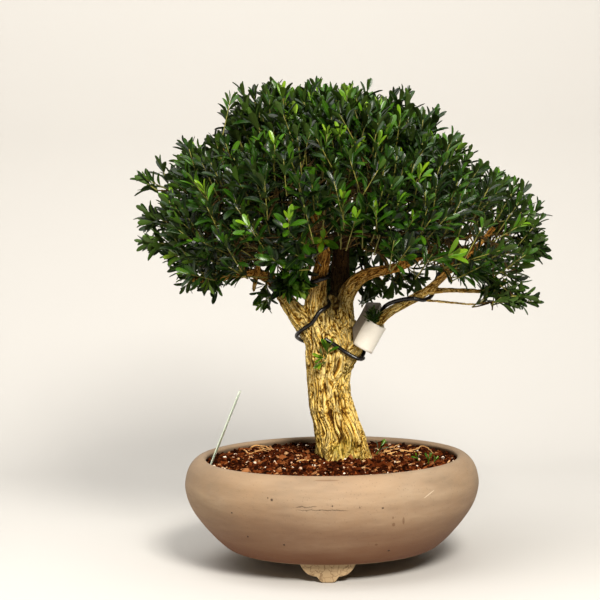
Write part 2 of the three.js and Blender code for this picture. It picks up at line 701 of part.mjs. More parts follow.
/** A point on the front of the trunk at a given x and height, clear of the bark. */
function onTrunkFront(x, height) {
  const places = stations(TRUNK, 60);
  const near = places.reduce((best, other) =>
    (Math.abs(other.centre.z - height) < Math.abs(best.centre.z - height) ? other : best));
  const reach = near.radius * (1 + TRUNK_FURROW) + WIRE_RADIUS + CLEARANCE;
  const off = x - near.centre.x;
  return new THREE.Vector3(x, near.centre.y - Math.sqrt(Math.max(reach ** 2 - off ** 2, 30)), height);
}

/** The strip's outline seen along its width: round at the front, folded twice at the back. */
function stripRing(grow) {
  const ring = new THREE.Shape();
  const left = -STRIP_RADIUS - grow;
  const right = STRIP_RIGHT_CORNER + grow;
  const leftDepth = STRIP_LEFT_DEPTH + grow;
  const rightDepth = STRIP_RIGHT_DEPTH + grow;
  const rise = STRIP_FOLD * (rightDepth - leftDepth) / (right - left);
  ring.moveTo(left, leftDepth - STRIP_FOLD);
  ring.lineTo(left, 0);
  ring.absarc(0, 0, -left, Math.PI, 2 * Math.PI, false);
  ring.lineTo(right, rightDepth - STRIP_FOLD);
  ring.quadraticCurveTo(right, rightDepth, right - STRIP_FOLD, rightDepth - rise);
  ring.lineTo(left + STRIP_FOLD, leftDepth + rise);
  ring.quadraticCurveTo(left, leftDepth, left, leftDepth - STRIP_FOLD);
  return ring;
}

/** The blank strip, looped round the branch with its bow to the front. */
function makeStrip() {
  const loop = stripRing(STRIP_THICKNESS);
  loop.holes.push(stripRing(0));
  const band = new THREE.ExtrudeGeometry(loop, {
    depth: STRIP_WIDTH, bevelEnabled: false, curveSegments: 4,
  });
  band.translate(0, 0, -STRIP_WIDTH / 2);
  const back = STRIP_BACKWARDS.clone();
  back.addScaledVector(STRIP_DIRECTION, -back.dot(STRIP_DIRECTION)).normalize();
  const beside = back.clone().cross(STRIP_DIRECTION);
  return solid(bend(band, (p) => STRIP_MIDDLE.clone()
    .addScaledVector(beside, p.x)
    .addScaledVector(back, p.y)
    .addScaledVector(STRIP_DIRECTION, p.z + Math.max(p.y, 0) * STRIP_SLANT)));
}

/** The clear stake: a thin tapered blade, turned nearly edge-on to the front. */
function makeStake() {
  const reach = STAKE_FOOT.distanceTo(STAKE_TOP);
  const half = STAKE_WIDTH / 2;
  const outline = new THREE.Shape();
  outline.moveTo(-half, reach);
  outline.lineTo(-half, STAKE_TAPER);
  outline.lineTo(-STAKE_POINT, 0);
  outline.lineTo(STAKE_POINT, 0);
  outline.lineTo(half, STAKE_TAPER);
  outline.lineTo(half, reach);
  const blade = new THREE.ExtrudeGeometry(outline, { depth: STAKE_THICKNESS, bevelEnabled: false });
  blade.translate(0, 0, -STAKE_THICKNESS / 2).rotateY(radians(STAKE_TURN));
  const turn = new THREE.Quaternion().setFromUnitVectors(
    new THREE.Vector3(0, 1, 0), STAKE_TOP.clone().sub(STAKE_FOOT).normalize());
  return blade.applyQuaternion(turn).translate(...STAKE_FOOT.toArray());
}

/** The whole tree in its pot, with the middle of its footprint at the origin. */
function build() {
  const draw = drawFrom(20);
  const plan = sprayPlan();
  const twigs = twigPaths(plan);
  const fatWood = makeWood(twigs, CLEARANCE);
  const stake = solid(makeStake());

  const routes = {
    wire_left_stem: [
      ...LEFT_WIRE_START.map((point) => new THREE.Vector3(...point)),
      ...coil(LIMBS.left_stem, LEFT_WIRE_TURNS),
    ],
    wire_right_branch: [
      ...RIGHT_WIRE_START.map(([x, height]) => onTrunkFront(x, height)),
      ...RIGHT_WIRE_UNDER.map((point) => new THREE.Vector3(...point)),
      ...coil(LIMBS.low_right, RIGHT_WIRE_TURNS),
    ],
  };
  const grooves = Object.values(routes).map((route) => wireRod(route, WIRE_GROOVE));
  const wood = grooves.reduce((cut, groove) => cut.subtract(groove), makeWood(twigs));
  const inTheWay = grooves.reduce((all, groove) => all.add(groove), fatWood);

  const group = new THREE.Group();
  group.add(piece("pot", makePot(), "stoneware"));
  group.add(piece("drain_mesh", makeScreen(), "screen"));
  group.add(piece("mesh_clip", makeStaple(), "wire"));
  group.add(piece("soil", makeSoil(fatWood.add(stake)), "soil"));
  group.add(piece("trunk_and_limbs", largest(wood), "bark"));
  for (const [name, route] of Object.entries(routes)) group.add(piece(name, wireRod(route), "wire"));
  group.add(piece("label_loop", makeStrip(), "strip"));
  group.add(piece("label_stake", stake, "clear_plastic"));
  const sprout = shoot(SPROUT_FOOT, SPROUT_TIP, SPROUT_TURN, SPROUT_SCALE);
  group.add(piece("trunk_shoot", largest(sprout.subtract(inTheWay)), "leaf"));
  for (const spray of plan) {
    group.add(piece(spray.name, makeSpray(spray, plan, inTheWay, draw), "leaf"));
  }

  const box = new THREE.Box3().setFromObject(group);
  const middle = box.getCenter(new THREE.Vector3());
  group.position.set(-middle.x, -middle.y, -box.min.z);
  return group;
}

export default build();
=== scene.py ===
# %% [markdown]
# # A boxwood bonsai in a round stoneware pot
#
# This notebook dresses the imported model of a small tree. The model already has the pot, the
# wood, the wires and one plain solid for each leafy spray. Each cell below takes one piece,
# says what it is on the real tree, and works out its surface with arrays of numbers. All
# shapes are worked out in millimetres about the pot's axis and turned into metres at the end.

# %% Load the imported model
import json

import bpy
import numpy as np
from mathutils import Matrix, Vector

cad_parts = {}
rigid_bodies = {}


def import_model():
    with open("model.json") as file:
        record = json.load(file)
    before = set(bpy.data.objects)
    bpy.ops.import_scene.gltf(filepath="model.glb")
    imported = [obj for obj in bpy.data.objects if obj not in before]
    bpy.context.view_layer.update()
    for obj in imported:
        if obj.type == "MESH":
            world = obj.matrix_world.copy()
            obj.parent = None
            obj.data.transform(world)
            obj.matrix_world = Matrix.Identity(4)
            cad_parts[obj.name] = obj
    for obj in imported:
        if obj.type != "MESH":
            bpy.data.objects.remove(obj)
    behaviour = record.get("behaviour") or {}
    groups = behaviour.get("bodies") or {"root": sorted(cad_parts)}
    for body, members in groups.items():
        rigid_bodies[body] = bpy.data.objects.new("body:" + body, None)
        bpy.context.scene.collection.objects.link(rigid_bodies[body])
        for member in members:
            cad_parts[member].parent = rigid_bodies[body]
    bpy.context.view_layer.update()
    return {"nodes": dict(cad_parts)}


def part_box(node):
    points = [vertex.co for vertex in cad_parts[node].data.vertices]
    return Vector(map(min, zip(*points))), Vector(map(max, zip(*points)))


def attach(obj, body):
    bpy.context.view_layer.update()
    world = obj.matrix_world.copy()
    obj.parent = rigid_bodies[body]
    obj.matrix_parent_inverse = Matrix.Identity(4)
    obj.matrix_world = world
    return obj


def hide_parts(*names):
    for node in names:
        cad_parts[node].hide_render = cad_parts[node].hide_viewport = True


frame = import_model()
SEED = 11
draw = np.random.default_rng(SEED)

pot_low, pot_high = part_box("pot")
POT_AXIS = np.array([(pot_low[0] + pot_high[0]) / 2, (pot_low[1] + pot_high[1]) / 2, 0.0])
MM = 0.001
print(f"pot axis at x {POT_AXIS[0]:.4f}, y {POT_AXIS[1]:.4f}")

# %% [markdown]
# Every surface here is a grid of points or a tube along a path. The helpers below turn such
# grids into triangles and put them into the scene. A tube needs two directions across its
# path at every station. They are carried along the path, each made square to the next
# tangent, so the tube doesn't twist.

# %% Shapes from grids and paths
STEEP = 0.8
PLANE_WAVES = 8
NOISE_GAIN = 1.6


def grid_faces(rows, columns, wrap=False):
    """Two triangles for each cell of a grid whose points are numbered row by row."""
    across = columns if wrap else columns - 1
    i, j = np.meshgrid(np.arange(rows - 1), np.arange(across), indexing="ij")
    near = i * columns + j
    beside = i * columns + (j + 1) % columns
    lower = np.stack([near, beside, beside + columns], -1).reshape(-1, 3)
    upper = np.stack([near, beside + columns, near + columns], -1).reshape(-1, 3)
    return np.concatenate([lower, upper])


def unit(vectors):
    """Vectors divided by their lengths."""
    return vectors / np.maximum(np.linalg.norm(vectors, axis=-1, keepdims=True), 1e-9)


def through(controls, count):
    """A smooth curve through rows of numbers, as count rows: each span is a cubic whose slope
    at a row is half the step from the row before it to the row after it."""
    rows = np.asarray(controls, float)
    padded = np.vstack([2 * rows[0] - rows[1], rows, 2 * rows[-1] - rows[-2]])
    place = np.linspace(0, len(rows) - 1, count)
    index = np.minimum(place.astype(int), len(rows) - 2)
    t = (place - index)[:, None]
    before, start, end, after = (padded[index + k] for k in range(4))
    slope = (end - before) * t
    bend = (2 * before - 5 * start + 4 * end - after) * t**2
    twist = (3 * start - before - 3 * end + after) * t**3
    return 0.5 * (2 * start + slope + bend + twist)


def frames_along(path):
    """Unit tangent and two unit directions across it at each station of a path."""
    tangent = unit(np.gradient(path, axis=0))
    across = np.empty_like(tangent)
    carried = np.array([0.0, -1.0, 0.0]) if abs(tangent[0, 1]) < STEEP else np.array([0.0, 0.0, 1.0])
    for station, direction in enumerate(tangent):
        carried = unit(carried - direction * (carried @ direction))
        across[station] = carried
    return tangent, across, np.cross(tangent, across)


def ring_round(across, beside, sides):
    """Directions from a path to its skin: cos a_j times across plus sin a_j times beside."""
    angle = (np.arange(sides) * 2 * np.pi / sides)[:, None]
    return np.cos(angle) * across[..., None, :] + np.sin(angle) * beside[..., None, :]


def tube(path, radii, sides):
    """A closed round tube: a ring at its radius about every station, and a fan at each end."""
    path = np.asarray(path, float)
    radii = np.broadcast_to(radii, len(path))
    _, across, beside = frames_along(path)
    points = (path[:, None] + radii[:, None, None] * ring_round(across, beside, sides)).reshape(-1, 3)
    here = np.arange(sides)
    after = (here + 1) % sides
    last = (len(path) - 1) * sides
    foot = np.stack([np.full(sides, len(points)), after, here], -1)
    head = np.stack([np.full(sides, len(points) + 1), here + last, after + last], -1)
    faces = np.concatenate([grid_faces(len(path), sides, wrap=True), foot, head])
    return np.vstack([points, path[0], path[-1]]), faces


def joined(shapes):
    """Several shapes, each (points, faces), as one."""
    starts = np.cumsum([0] + [len(points) for points, _ in shapes[:-1]])
    points = np.vstack([points for points, _ in shapes])
    return points, np.vstack([faces + start for (_, faces), start in zip(shapes, starts)])


def repeated(faces, copies, points_each):
    """A shape's faces for every copy of it, where the copies' points follow one another."""
    starts = np.arange(copies) * points_each
    return (faces[None] + starts[:, None, None]).reshape(-1, 3)


def many_tubes(paths, radii, sides):
    """Many short tubes at once: paths is tubes x stations x 3, radii is a number for each
    station, and both ends are closed by drawing the end ring in to its centre."""
    count, stations, _ = paths.shape
    tangent = unit(np.gradient(paths, axis=1))
    lean = np.where(np.abs(tangent[:, :1, 2:]) < STEEP, [[[0, 0, 1.0]]], [[[1.0, 0, 0]]])
    across = unit(np.cross(tangent, lean))
    ring = ring_round(across, np.cross(tangent, across), sides)
    points = paths[:, :, None] + np.broadcast_to(radii, (count, stations))[:, :, None, None] * ring
    foot = np.repeat(paths[:, :1, None], sides, axis=2)
    head = np.repeat(paths[:, -1:, None], sides, axis=2)
    points = np.concatenate([foot, points, head], axis=1)
    faces = repeated(grid_faces(stations + 2, sides, wrap=True), count, (stations + 2) * sides)
    return points.reshape(-1, 3), faces


def between(starts, ends, stations):
    """Straight paths from each start to its end."""
    share = np.linspace(0, 1, stations)[None, :, None]
    return starts[:, None] * (1 - share) + ends[:, None] * share


def turned(profile, sides):
    """A profile of radius and height turned about the upright: x = r cos a, y = r sin a."""
    angle = np.arange(sides) * 2 * np.pi / sides
    radius, height = np.asarray(profile, float).T[..., None]
    return np.stack([radius * np.cos(angle), radius * np.sin(angle),
                     np.broadcast_to(height, (len(profile), sides))], -1)


def waves(points, size, seed, amount=1.0):
    """Smooth lumps in space of about the given size: the mean of a few plane waves whose
    directions and phases are drawn from the seed."""
    lots = np.random.default_rng(seed)
    lengths = lots.normal(size=(PLANE_WAVES, 3))
    directions = unit(lengths) * 2 * np.pi / size * lots.uniform(0.6, 1.5, (PLANE_WAVES, 1))
    phases = lots.uniform(0, 2 * np.pi, PLANE_WAVES)
    return amount * np.sin(points @ directions.T + phases).mean(axis=-1) * NOISE_GAIN


def smoothstep(low, high, values):
    """0 below low, 1 above high, and a smooth rise between them."""
    share = np.clip((values - low) / (high - low), 0, 1)
    return share * share * (3 - 2 * share)


# %% Pieces from shapes


def placed(points):
    """Millimetres about the pot's axis as metres in the model's frame."""
    return np.asarray(points) * MM + POT_AXIS


def mesh_of(name, points, faces, smooth=True, values=None, uv=None):
    """A mesh with its points in metres, and a number at every point for each named value."""
    mesh = bpy.data.meshes.new(name)
    mesh.from_pydata(placed(points), [], np.asarray(faces).tolist())
    mesh.polygons.foreach_set("use_smooth", np.full(len(mesh.polygons), smooth))
    for key, numbers in (values or {}).items():
        numbers = np.asarray(numbers, dtype=np.float32)
        plain = numbers.ndim == 1
        layer = mesh.attributes.new(key, "FLOAT" if plain else "FLOAT_VECTOR", "POINT")
        layer.data.foreach_set("value" if plain else "vector", numbers.ravel())
    if uv is not None:
        corners = np.asarray(faces).ravel()
        layer = mesh.uv_layers.new(name="surface")
        layer.data.foreach_set("uv", np.asarray(uv, dtype=np.float32)[corners].ravel())
    return mesh


def add_piece(name, mesh, material, replaced=()):
    """Shows a mesh as a piece that rides on the model and stands for the named nodes."""
    mesh.materials.append(material)
    thing = bpy.data.objects.new(name, mesh)
    bpy.context.scene.collection.objects.link(thing)
    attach(thing, "root")
    if replaced:
        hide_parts(*replaced)
    print(f"{name}: {len(mesh.polygons)} faces")


# %% [markdown]
# Finishes are worked out by nodes. Two effects are used again and again: mottling, which is
# noise at a coarse and a fine scale that shifts a colour, and grit, which is a fine relief
# with small pits. Each is a group of nodes, built once and placed in every material with its
# own numbers. The groups put out only masks and heights. Colours are written as a screen
# shows them, from 0 to 255, and are made linear when they reach a node.

# %% Helpers for finishes


def srgb(colour):
    """A screen colour of 0 to 255 as the linear colour that shaders use."""
    share = np.array(colour) / 255
    linear = np.where(share <= 0.04045, share / 12.92, ((share + 0.055) / 1.055) ** 2.4)
    return (*linear, 1.0)


class Nodes:
    """A tree of nodes that are added one after another."""

    def __init__(self, tree):
        self.tree = tree

    def feed(self, node, inputs):
        """Sets a node's inputs, by name or number: each is another node's output, a number, a
        vector or, where the input is a colour, a screen colour of 0 to 255."""
        for key, value in inputs.items():
            socket = node.inputs[key.replace("_", " ") if isinstance(key, str) else key]
            if isinstance(value, bpy.types.NodeSocket):
                self.tree.links.new(value, socket)
            else:
                socket.default_value = srgb(value) if socket.type == "RGBA" else value
        return node

    def node(self, kind, settings=None, **inputs):
        """A node of this kind with its settings and inputs."""
        made = self.tree.nodes.new(kind)
        for key, value in (settings or {}).items():
            setattr(made, key, value)
        return self.feed(made, inputs)

    def math(self, kind, first, second=0.0):
        """One or two values put through a sum of this kind."""
        return self.feed(self.node("ShaderNodeMath", {"operation": kind}), {0: first, 1: second}).outputs[0]

    def times(self, first, second):
        """The product of two values."""
        return self.math("MULTIPLY", first, second)

    def plus(self, first, second):
        """The sum of two values."""
        return self.math("ADD", first, second)

    def minus(self, first, second):
        """The first value less the second."""
        return self.math("SUBTRACT", first, second)

    def range(self, value, low, high, to_low=0.0, to_high=1.0):
        """A value carried from one range to another and held within it."""
        return self.node("ShaderNodeMapRange", Value=value, From_Min=low, From_Max=high,
                         To_Min=to_low, To_Max=to_high).outputs[0]

    def mix(self, share, first, second, blend="MIX"):
        """Two colours mixed by a share of 0 to 1."""
        made = self.node("ShaderNodeMix", {"data_type": "RGBA", "blend_type": blend})
        return self.feed(made, {0: share, 6: first, 7: second}).outputs[2]

    def ramp(self, share, stops):
        """A colour looked up from a share of 0 to 1 in a list of (place, colour)."""
        made = self.feed(self.node("ShaderNodeValToRGB"), {0: share})
        while len(made.color_ramp.elements) < len(stops):
            made.color_ramp.elements.new(0.5)
        for element, (place, colour) in zip(made.color_ramp.elements, stops):
            element.position = place
            element.color = srgb(colour)
        return made.outputs[0]

    def either(self, share, first, second):
        """One shader or another by a share of 0 to 1."""
        return self.feed(self.node("ShaderNodeMixShader", Fac=share), {1: first, 2: second}).outputs[0]


def new_group(name, numbers, results):
    """An empty group of nodes with a place, the named numbers and the named results."""
    tree = bpy.data.node_groups.new(name, "ShaderNodeTree")
    tree.interface.new_socket("Place", in_out="INPUT", socket_type="NodeSocketVector")
    for key, value in numbers.items():
        socket = tree.interface.new_socket(key, in_out="INPUT", socket_type="NodeSocketFloat")
        socket.default_value = value
    for key in results:
        tree.interface.new_socket(key, in_out="OUTPUT", socket_type="NodeSocketFloat")
    return Nodes(tree), tree.nodes.new("NodeGroupInput").outputs, tree.nodes.new("NodeGroupOutput")


def mottling_group():
    """Coarse noise plus a share of fine noise, spread to run from 0 to 1."""
    nodes, given, result = new_group("mottling", {"Coarse": 40.0, "Fine": 300.0, "Share": 0.35}, ["Mask"])
    coarse, fine = (nodes.node("ShaderNodeTexNoise", Vector=given["Place"], Scale=given[scale],
                               Detail=4.0).outputs["Fac"] for scale in ("Coarse", "Fine"))
    blend = nodes.feed(nodes.node("ShaderNodeMix"), {0: given["Share"], 2: coarse, 3: fine})
    nodes.feed(result, {"Mask": nodes.range(blend.outputs[0], 0.3, 0.7)})
    return nodes.tree


def grit_group():
    """Fine noise for the height, less small round pits where the middles of cells are near."""
    nodes, given, result = new_group("grit", {"Fine": 900.0, "Pits": 220.0, "Pit Share": 0.5},
                                     ["Height", "Pit"])
    noise = nodes.node("ShaderNodeTexNoise", Vector=given["Place"], Scale=given["Fine"]).outputs["Fac"]
    cells = nodes.node("ShaderNodeTexVoronoi", Vector=given["Place"], Scale=given["Pits"])
    hole = nodes.range(cells.outputs["Distance"], 0.05, 0.22, 1.0, 0.0)
    pit = nodes.times(hole, given["Pit Share"])
    nodes.feed(result, {"Height": nodes.minus(noise, pit), "Pit": pit})
    return nodes.tree


MOTTLING = mottling_group()
GRIT = grit_group()


class Finish(Nodes):
    """A material with a Principled shader. Its patterns follow the object's own place."""

    def __init__(self, name):
        self.material = bpy.data.materials.new(name)
        self.material.use_nodes = True
        super().__init__(self.material.node_tree)
        self.shader = self.tree.nodes["Principled BSDF"]
        self.place = self.tree.nodes.new("ShaderNodeTexCoord").outputs["Object"]

    def set(self, **inputs):
        """Sets or links the shader's own sockets."""
        self.feed(self.shader, inputs)

    def mottled(self, coarse, fine, share, place=None):
        """The mottling group's mask, with its own scales and share of fine noise."""
        where = self.place if place is None else place
        return self.node("ShaderNodeGroup", {"node_tree": MOTTLING}, Place=where, Coarse=coarse, Fine=fine,
                         Share=share).outputs["Mask"]

    def gritty(self, fine, pits, share):
        """The grit group's height and pits, with its own scales and depth of pits."""
        return self.node("ShaderNodeGroup", {"node_tree": GRIT}, Place=self.place, Fine=fine, Pits=pits,
                         Pit_Share=share).outputs

    def value_at(self, name, output="Fac"):
        """A number, or with output Vector three numbers, that the mesh carries at its points."""
        return self.node("ShaderNodeAttribute", {"attribute_name": name}).outputs[output]

    def relief(self, height, depth):
        """Turns a height into a normal, with its depth in metres."""
        bump = self.node("ShaderNodeBump", Height=height, Distance=depth, Strength=1.0)
        self.set(Normal=bump.outputs[0])


# %% [markdown]
# The camera stands two metres in front of the pot, a little above the middle of the tree,
# and looks slightly down. A long lens keeps the crown's and the pot's proportions. The tilt
# to the side is as small as a hand-set tripod's.

# %% Camera
CAMERA_PLACE = np.array([0.0, -2000.0, 427.0])
CAMERA_PITCH = np.radians(3.93)
CAMERA_YAW = np.radians(-0.911)
CAMERA_ROLL = np.radians(0.9)
LENS = 110.1
SENSOR_WIDTH = 36.0

ahead = np.array([np.sin(CAMERA_YAW) * np.cos(CAMERA_PITCH),
                  np.cos(CAMERA_YAW) * np.cos(CAMERA_PITCH), -np.sin(CAMERA_PITCH)])
level = np.array([np.cos(CAMERA_YAW), -np.sin(CAMERA_YAW), 0.0])
upright = np.cross(level, ahead)
rightwards = np.cos(CAMERA_ROLL) * level - np.sin(CAMERA_ROLL) * upright
upwards = np.sin(CAMERA_ROLL) * level + np.cos(CAMERA_ROLL) * upright

camera = bpy.data.objects.new("camera", bpy.data.cameras.new("camera"))
camera.data.lens = LENS
camera.data.sensor_width = SENSOR_WIDTH
turn = Matrix(np.column_stack([rightwards, upwards, -ahead]).tolist()).to_4x4()
camera.matrix_world = Matrix.Translation(Vector(placed(CAMERA_PLACE))) @ turn
bpy.context.scene.collection.objects.link(camera)
bpy.context.scene.camera = camera

# %% [markdown]
# The tree stands on a plain pale floor that curves up into a wall behind it, as a studio
# backdrop does. One large soft light is in front on the right, a weaker one on the left, and
# one lights the wall. So that the tree can be walked round, the wall is clear when it is seen
# from behind, the sky beyond the floor looks pale but gives little light, and the floor fades
# into it a metre and a half from the tree.

# %% Floor and wall
FLOOR_HALF_WIDTH = 4000.0
FLOOR_FRONT = -2600.0
FLOOR_BACK = 620.0
CURVE_RADIUS = 500.0
CURVE_STATIONS = 24
WALL_TOP = 3200.0
FADE_REACH = (1.45, 2.2)
SEEN_SKY = (238, 231, 217)

bend_angle = np.linspace(0, np.pi / 2, CURVE_STATIONS)
curve = np.column_stack([FLOOR_BACK + CURVE_RADIUS * np.sin(bend_angle),
                         CURVE_RADIUS * (1 - np.cos(bend_angle))])
backdrop_line = np.vstack([[FLOOR_FRONT, 0], curve, [FLOOR_BACK + CURVE_RADIUS, WALL_TOP]])
backdrop_points = np.array([[side * FLOOR_HALF_WIDTH, y, z] for y, z in backdrop_line for side in (-1, 1)])

studio = Finish("backdrop")
studio.set(Base_Color=(184, 182, 179), Roughness=0.9, Specular_IOR_Level=0.1)
from_behind = studio.node("ShaderNodeNewGeometry").outputs["Backfacing"]
clear = studio.node("ShaderNodeBsdfTransparent").outputs[0]
haze = studio.node("ShaderNodeEmission", Color=SEEN_SKY).outputs[0]
floor_place = studio.node("ShaderNodeMapping", Vector=studio.place, Scale=(1.0, 1.0, 0.0)).outputs[0]
off_tree = studio.node("ShaderNodeVectorMath", {"operation": "LENGTH"}, Vector=floor_place).outputs["Value"]
seen = studio.node("ShaderNodeLightPath").outputs["Is Camera Ray"]
faded = studio.times(studio.range(off_tree, *FADE_REACH), seen)
hazy = studio.either(faded, studio.shader.outputs[0], haze)
studio.feed(studio.tree.nodes["Material Output"], {"Surface": studio.either(from_behind, hazy, clear)})

backdrop_mesh = mesh_of("backdrop", backdrop_points, grid_faces(len(backdrop_line), 2))
backdrop_mesh.materials.append(studio.material)
backdrop = bpy.data.objects.new("backdrop", backdrop_mesh)
bpy.context.scene.collection.objects.link(backdrop)

# %% Lights and sky
# place, aim, size in metres, watts and colour
LIGHTS = {
    "key": ((480, -1700, 1420), (0, 0, 300), 0.55, 84, (1.0, 0.95, 0.87)),
    "fill": ((-1500, -1500, 700), (0, 0, 250), 1.2, 8, (1.0, 0.82, 0.62)),
    "wall": ((-500, -200, 2300), (-500, 1200, 100), 2.4, 75, (1.0, 0.985, 0.95)),
}
SKY_COLOUR = (240, 232, 216)
SKY_LIGHT = 0.045

for name, (place, aim, size, watts, colour) in LIGHTS.items():
    light = bpy.data.lights.new(name, "AREA")
    light.size = size
    light.energy = watts
    light.color = colour
    lamp = bpy.data.objects.new(name, light)
    facing = (Vector(aim) - Vector(place)).to_track_quat("-Z", "Y").to_matrix().to_4x4()
    lamp.matrix_world = Matrix.Translation(Vector(placed(place))) @ facing
    bpy.context.scene.collection.objects.link(lamp)

world = bpy.data.worlds.new("studio")
world.use_nodes = True
sky = Nodes(world.node_tree)
dim_sky = sky.feed(sky.tree.nodes["Background"], {"Color": SKY_COLOUR, "Strength": SKY_LIGHT}).outputs[0]
seen_sky = sky.node("ShaderNodeBackground", Color=SEEN_SKY).outputs[0]
looked_at = sky.node("ShaderNodeLightPath").outputs["Is Camera Ray"]
sky.feed(sky.tree.nodes["World Output"], {"Surface": sky.either(looked_at, dim_sky, seen_sky)})
bpy.context.scene.world = world
bpy.context.scene.view_settings.view_transform = "Standard"

# %% [markdown]
# The pot was thrown on a wheel from grogged clay and fired without a glaze. Its wall is a
# profile turned about the axis. The wall isn't quite true, so a few slow waves move it by a
# quarter of a millimetre.

# %% Pot wall
POT_PROFILE = [
    (15, 30), (15, 20.5), (40, 20), (80, 20), (108, 20), (115, 21), (123, 27), (133, 37), (144, 50),
    (153, 63), (158.4, 75), (161, 88), (159.7, 99), (156.8, 107.5), (152.6, 113.5), (147.6, 117.6),
    (143.6, 118.6), (139.8, 118), (138, 115.4), (141.2, 110), (147.8, 102), (150.8, 86), (144, 62),
    (130, 44), (112, 31), (60, 30), (15, 30),
]
POT_SIDES = 220
POT_STATIONS = 120
POT_SWAY = 0.0016
SWAY_SIZE = 120

wall = through(POT_PROFILE, POT_STATIONS)
wall[-1] = wall[0]
pot_points = turned(wall, POT_SIDES)
sway = 1 + POT_SWAY * waves(pot_points, SWAY_SIZE, 3)
pot_points[..., :2] *= sway[..., None]
pot_wall = pot_points[:-1].reshape(-1, 3)
pot_faces = grid_faces(POT_STATIONS, POT_SIDES, wrap=True) % len(pot_wall)
print(f"pot wall: {len(pot_faces)} faces")

# %% [markdown]
# Three shallow scalloped feet were cut from a slab and joined to the base. A foot is a grid:
# one parameter runs across it and the other goes down the front, under it and up the back,
# with a rounded edge. The scalloped outline says how low each column reaches. The flat slab
# is then bent round the pot's axis.

# %% Pot feet
FOOT_FRONT_RADIUS = 108.0
FOOT_DEPTH = 24.0
FOOT_TOP = 24.0
FOOT_EDGE = 2.2
FOOT_OUTLINE = [
    (0, 0), (5, 0), (6.8, 0.5), (8.4, 1.8), (10, 3.7), (11.2, 5.4), (12.4, 6.1), (15, 6.4), (18.5, 7.2),
    (21.7, 8.6), (24, 10.4), (25.8, 12.2), (27.5, 14.4), (29, 16.6), (30.3, 19), (31.2, 21.5), (32, 24),
]
FOOT_TURNS = (-93, 27, 147)


def foot(azimuth):
    """One foot: column x reaches down to the outline, and the section's edge is a
    quarter circle at the front and at the back."""
    outline = np.array(FOOT_OUTLINE)
    columns = np.concatenate([-outline[:0:-1, 0], outline[:, 0]])
    lowest = np.concatenate([outline[:0:-1, 1], outline[:, 1]])
    quarter = np.linspace(0, np.pi / 2, 5)
    small, large = FOOT_EDGE * (1 - np.cos(quarter)), FOOT_EDGE * (1 - np.sin(quarter))
    depth, rise = np.vstack([[0, 0], np.column_stack([small, large]),
                             np.column_stack([FOOT_DEPTH - large, small]), [FOOT_DEPTH, 0]]).T
    height = np.minimum(lowest[:, None] + rise, FOOT_TOP)
    height[:, [0, -1]] = FOOT_TOP
    radius = FOOT_FRONT_RADIUS - depth
    angle = azimuth + columns[:, None] / FOOT_FRONT_RADIUS
    points = np.stack([radius * np.cos(angle), radius * np.sin(angle), height], -1)
    front = np.arange(len(columns) - 1) * len(depth)
    back = front + len(depth) - 1
    lid = np.concatenate([np.stack([front, back + len(depth), front + len(depth)], -1),
                          np.stack([front, back, back + len(depth)], -1)])
    return points.reshape(-1, 3), np.concatenate([grid_faces(len(columns), len(depth)), lid])


feet = [foot(np.radians(azimuth)) for azimuth in FOOT_TURNS]
print(f"feet: {sum(len(faces) for _, faces in feet)} faces")

# %% [markdown]
# Unglazed stoneware is grey where the clay shows and tan where the kiln's heat and years of
# watering coloured it. Low on the belly the colour is painted darker and warmer: painted shade
# under the bulge and a painted warm reflection from below. The wheel left level smears, so the
# noise is stretched round the pot. Dark specks are iron in the clay. Pits, stains, a scratch
# and two hairline cracks are at their places on the front, each worked out from the distance
# to it, and the pale slip on the feet is crazed, which is the edges of warped cells.

# %% Stoneware finish
# height, sway, bends per metre, and the middle and half width of the line
CRACKS = [(82.5, 8, 55, (-9.5, 27.5)), (86.2, 7, 90, (-26, 11))]
# x, height, half width, half height and, if it slopes, its slope
POT_PITS = [(-61.5, 95.8, 1.3, 1.4), (-65.5, 97.5, 0.7, 0.7), (0.2, 91, 0.9, 0.8), (51.5, 86.7, 1.2, 0.9),
            (-104, 78, 1, 0.9), (28, 88.5, 0.7, 0.6), (-50, 46, 1.2, 1), (58, 36, 1.4, 1), (-88, 52, 1, 1.2)]
POT_STAINS = [(62.6, 67.8, 1.8, 2.4), (62, 75.5, 1, 1.6), (72.9, 70.9, 1.3, 4.5), (44.8, 45.3, 1.8, 1.4),
              (-5, 115.5, 14, 0.7)]
POT_SCRATCH = (100.2, 95.7, 6.2, 0.6, 0.58)
CRACK_REACH = 30
# heights over which the painted shade and painted warm reflection low on the belly fade out
PAINTED_SHADE_HEIGHTS = (0.03, 0.1)
FOOT_HEIGHTS = (0.0195, 0.0215)
FRONT_DEPTHS = (-0.05, -0.06)

ware = Finish("stoneware")
ware_x, ware_y, ware_z = ware.node("ShaderNodeSeparateXYZ", Vector=ware.place).outputs
smear_place = ware.node("ShaderNodeMapping", Vector=ware.place, Scale=(1.0, 1.0, 5.0)).outputs[0]
smears = ware.mottled(9.0, 42.0, 0.25, smear_place)
cloudy = ware.mottled(14.0, 120.0, 0.3)
specks = ware.gritty(1400.0, 260.0, 0.55)
clay = ware.ramp(smears, [(0.0, (113, 97, 79)), (0.45, (134, 115, 94)), (1.0, (156, 136, 112))])
toned = ware.mix(ware.times(cloudy, 0.5), clay, (148, 118, 86))
# painted shade and painted warm reflection: darker and warmer low on the belly, below its widest part
low_shade_share = ware.range(ware.plus(ware_z, ware.times(smears, 0.014)), *PAINTED_SHADE_HEIGHTS, 0.85, 0.0)
low_shaded = ware.mix(low_shade_share, toned, (102, 56, 24))

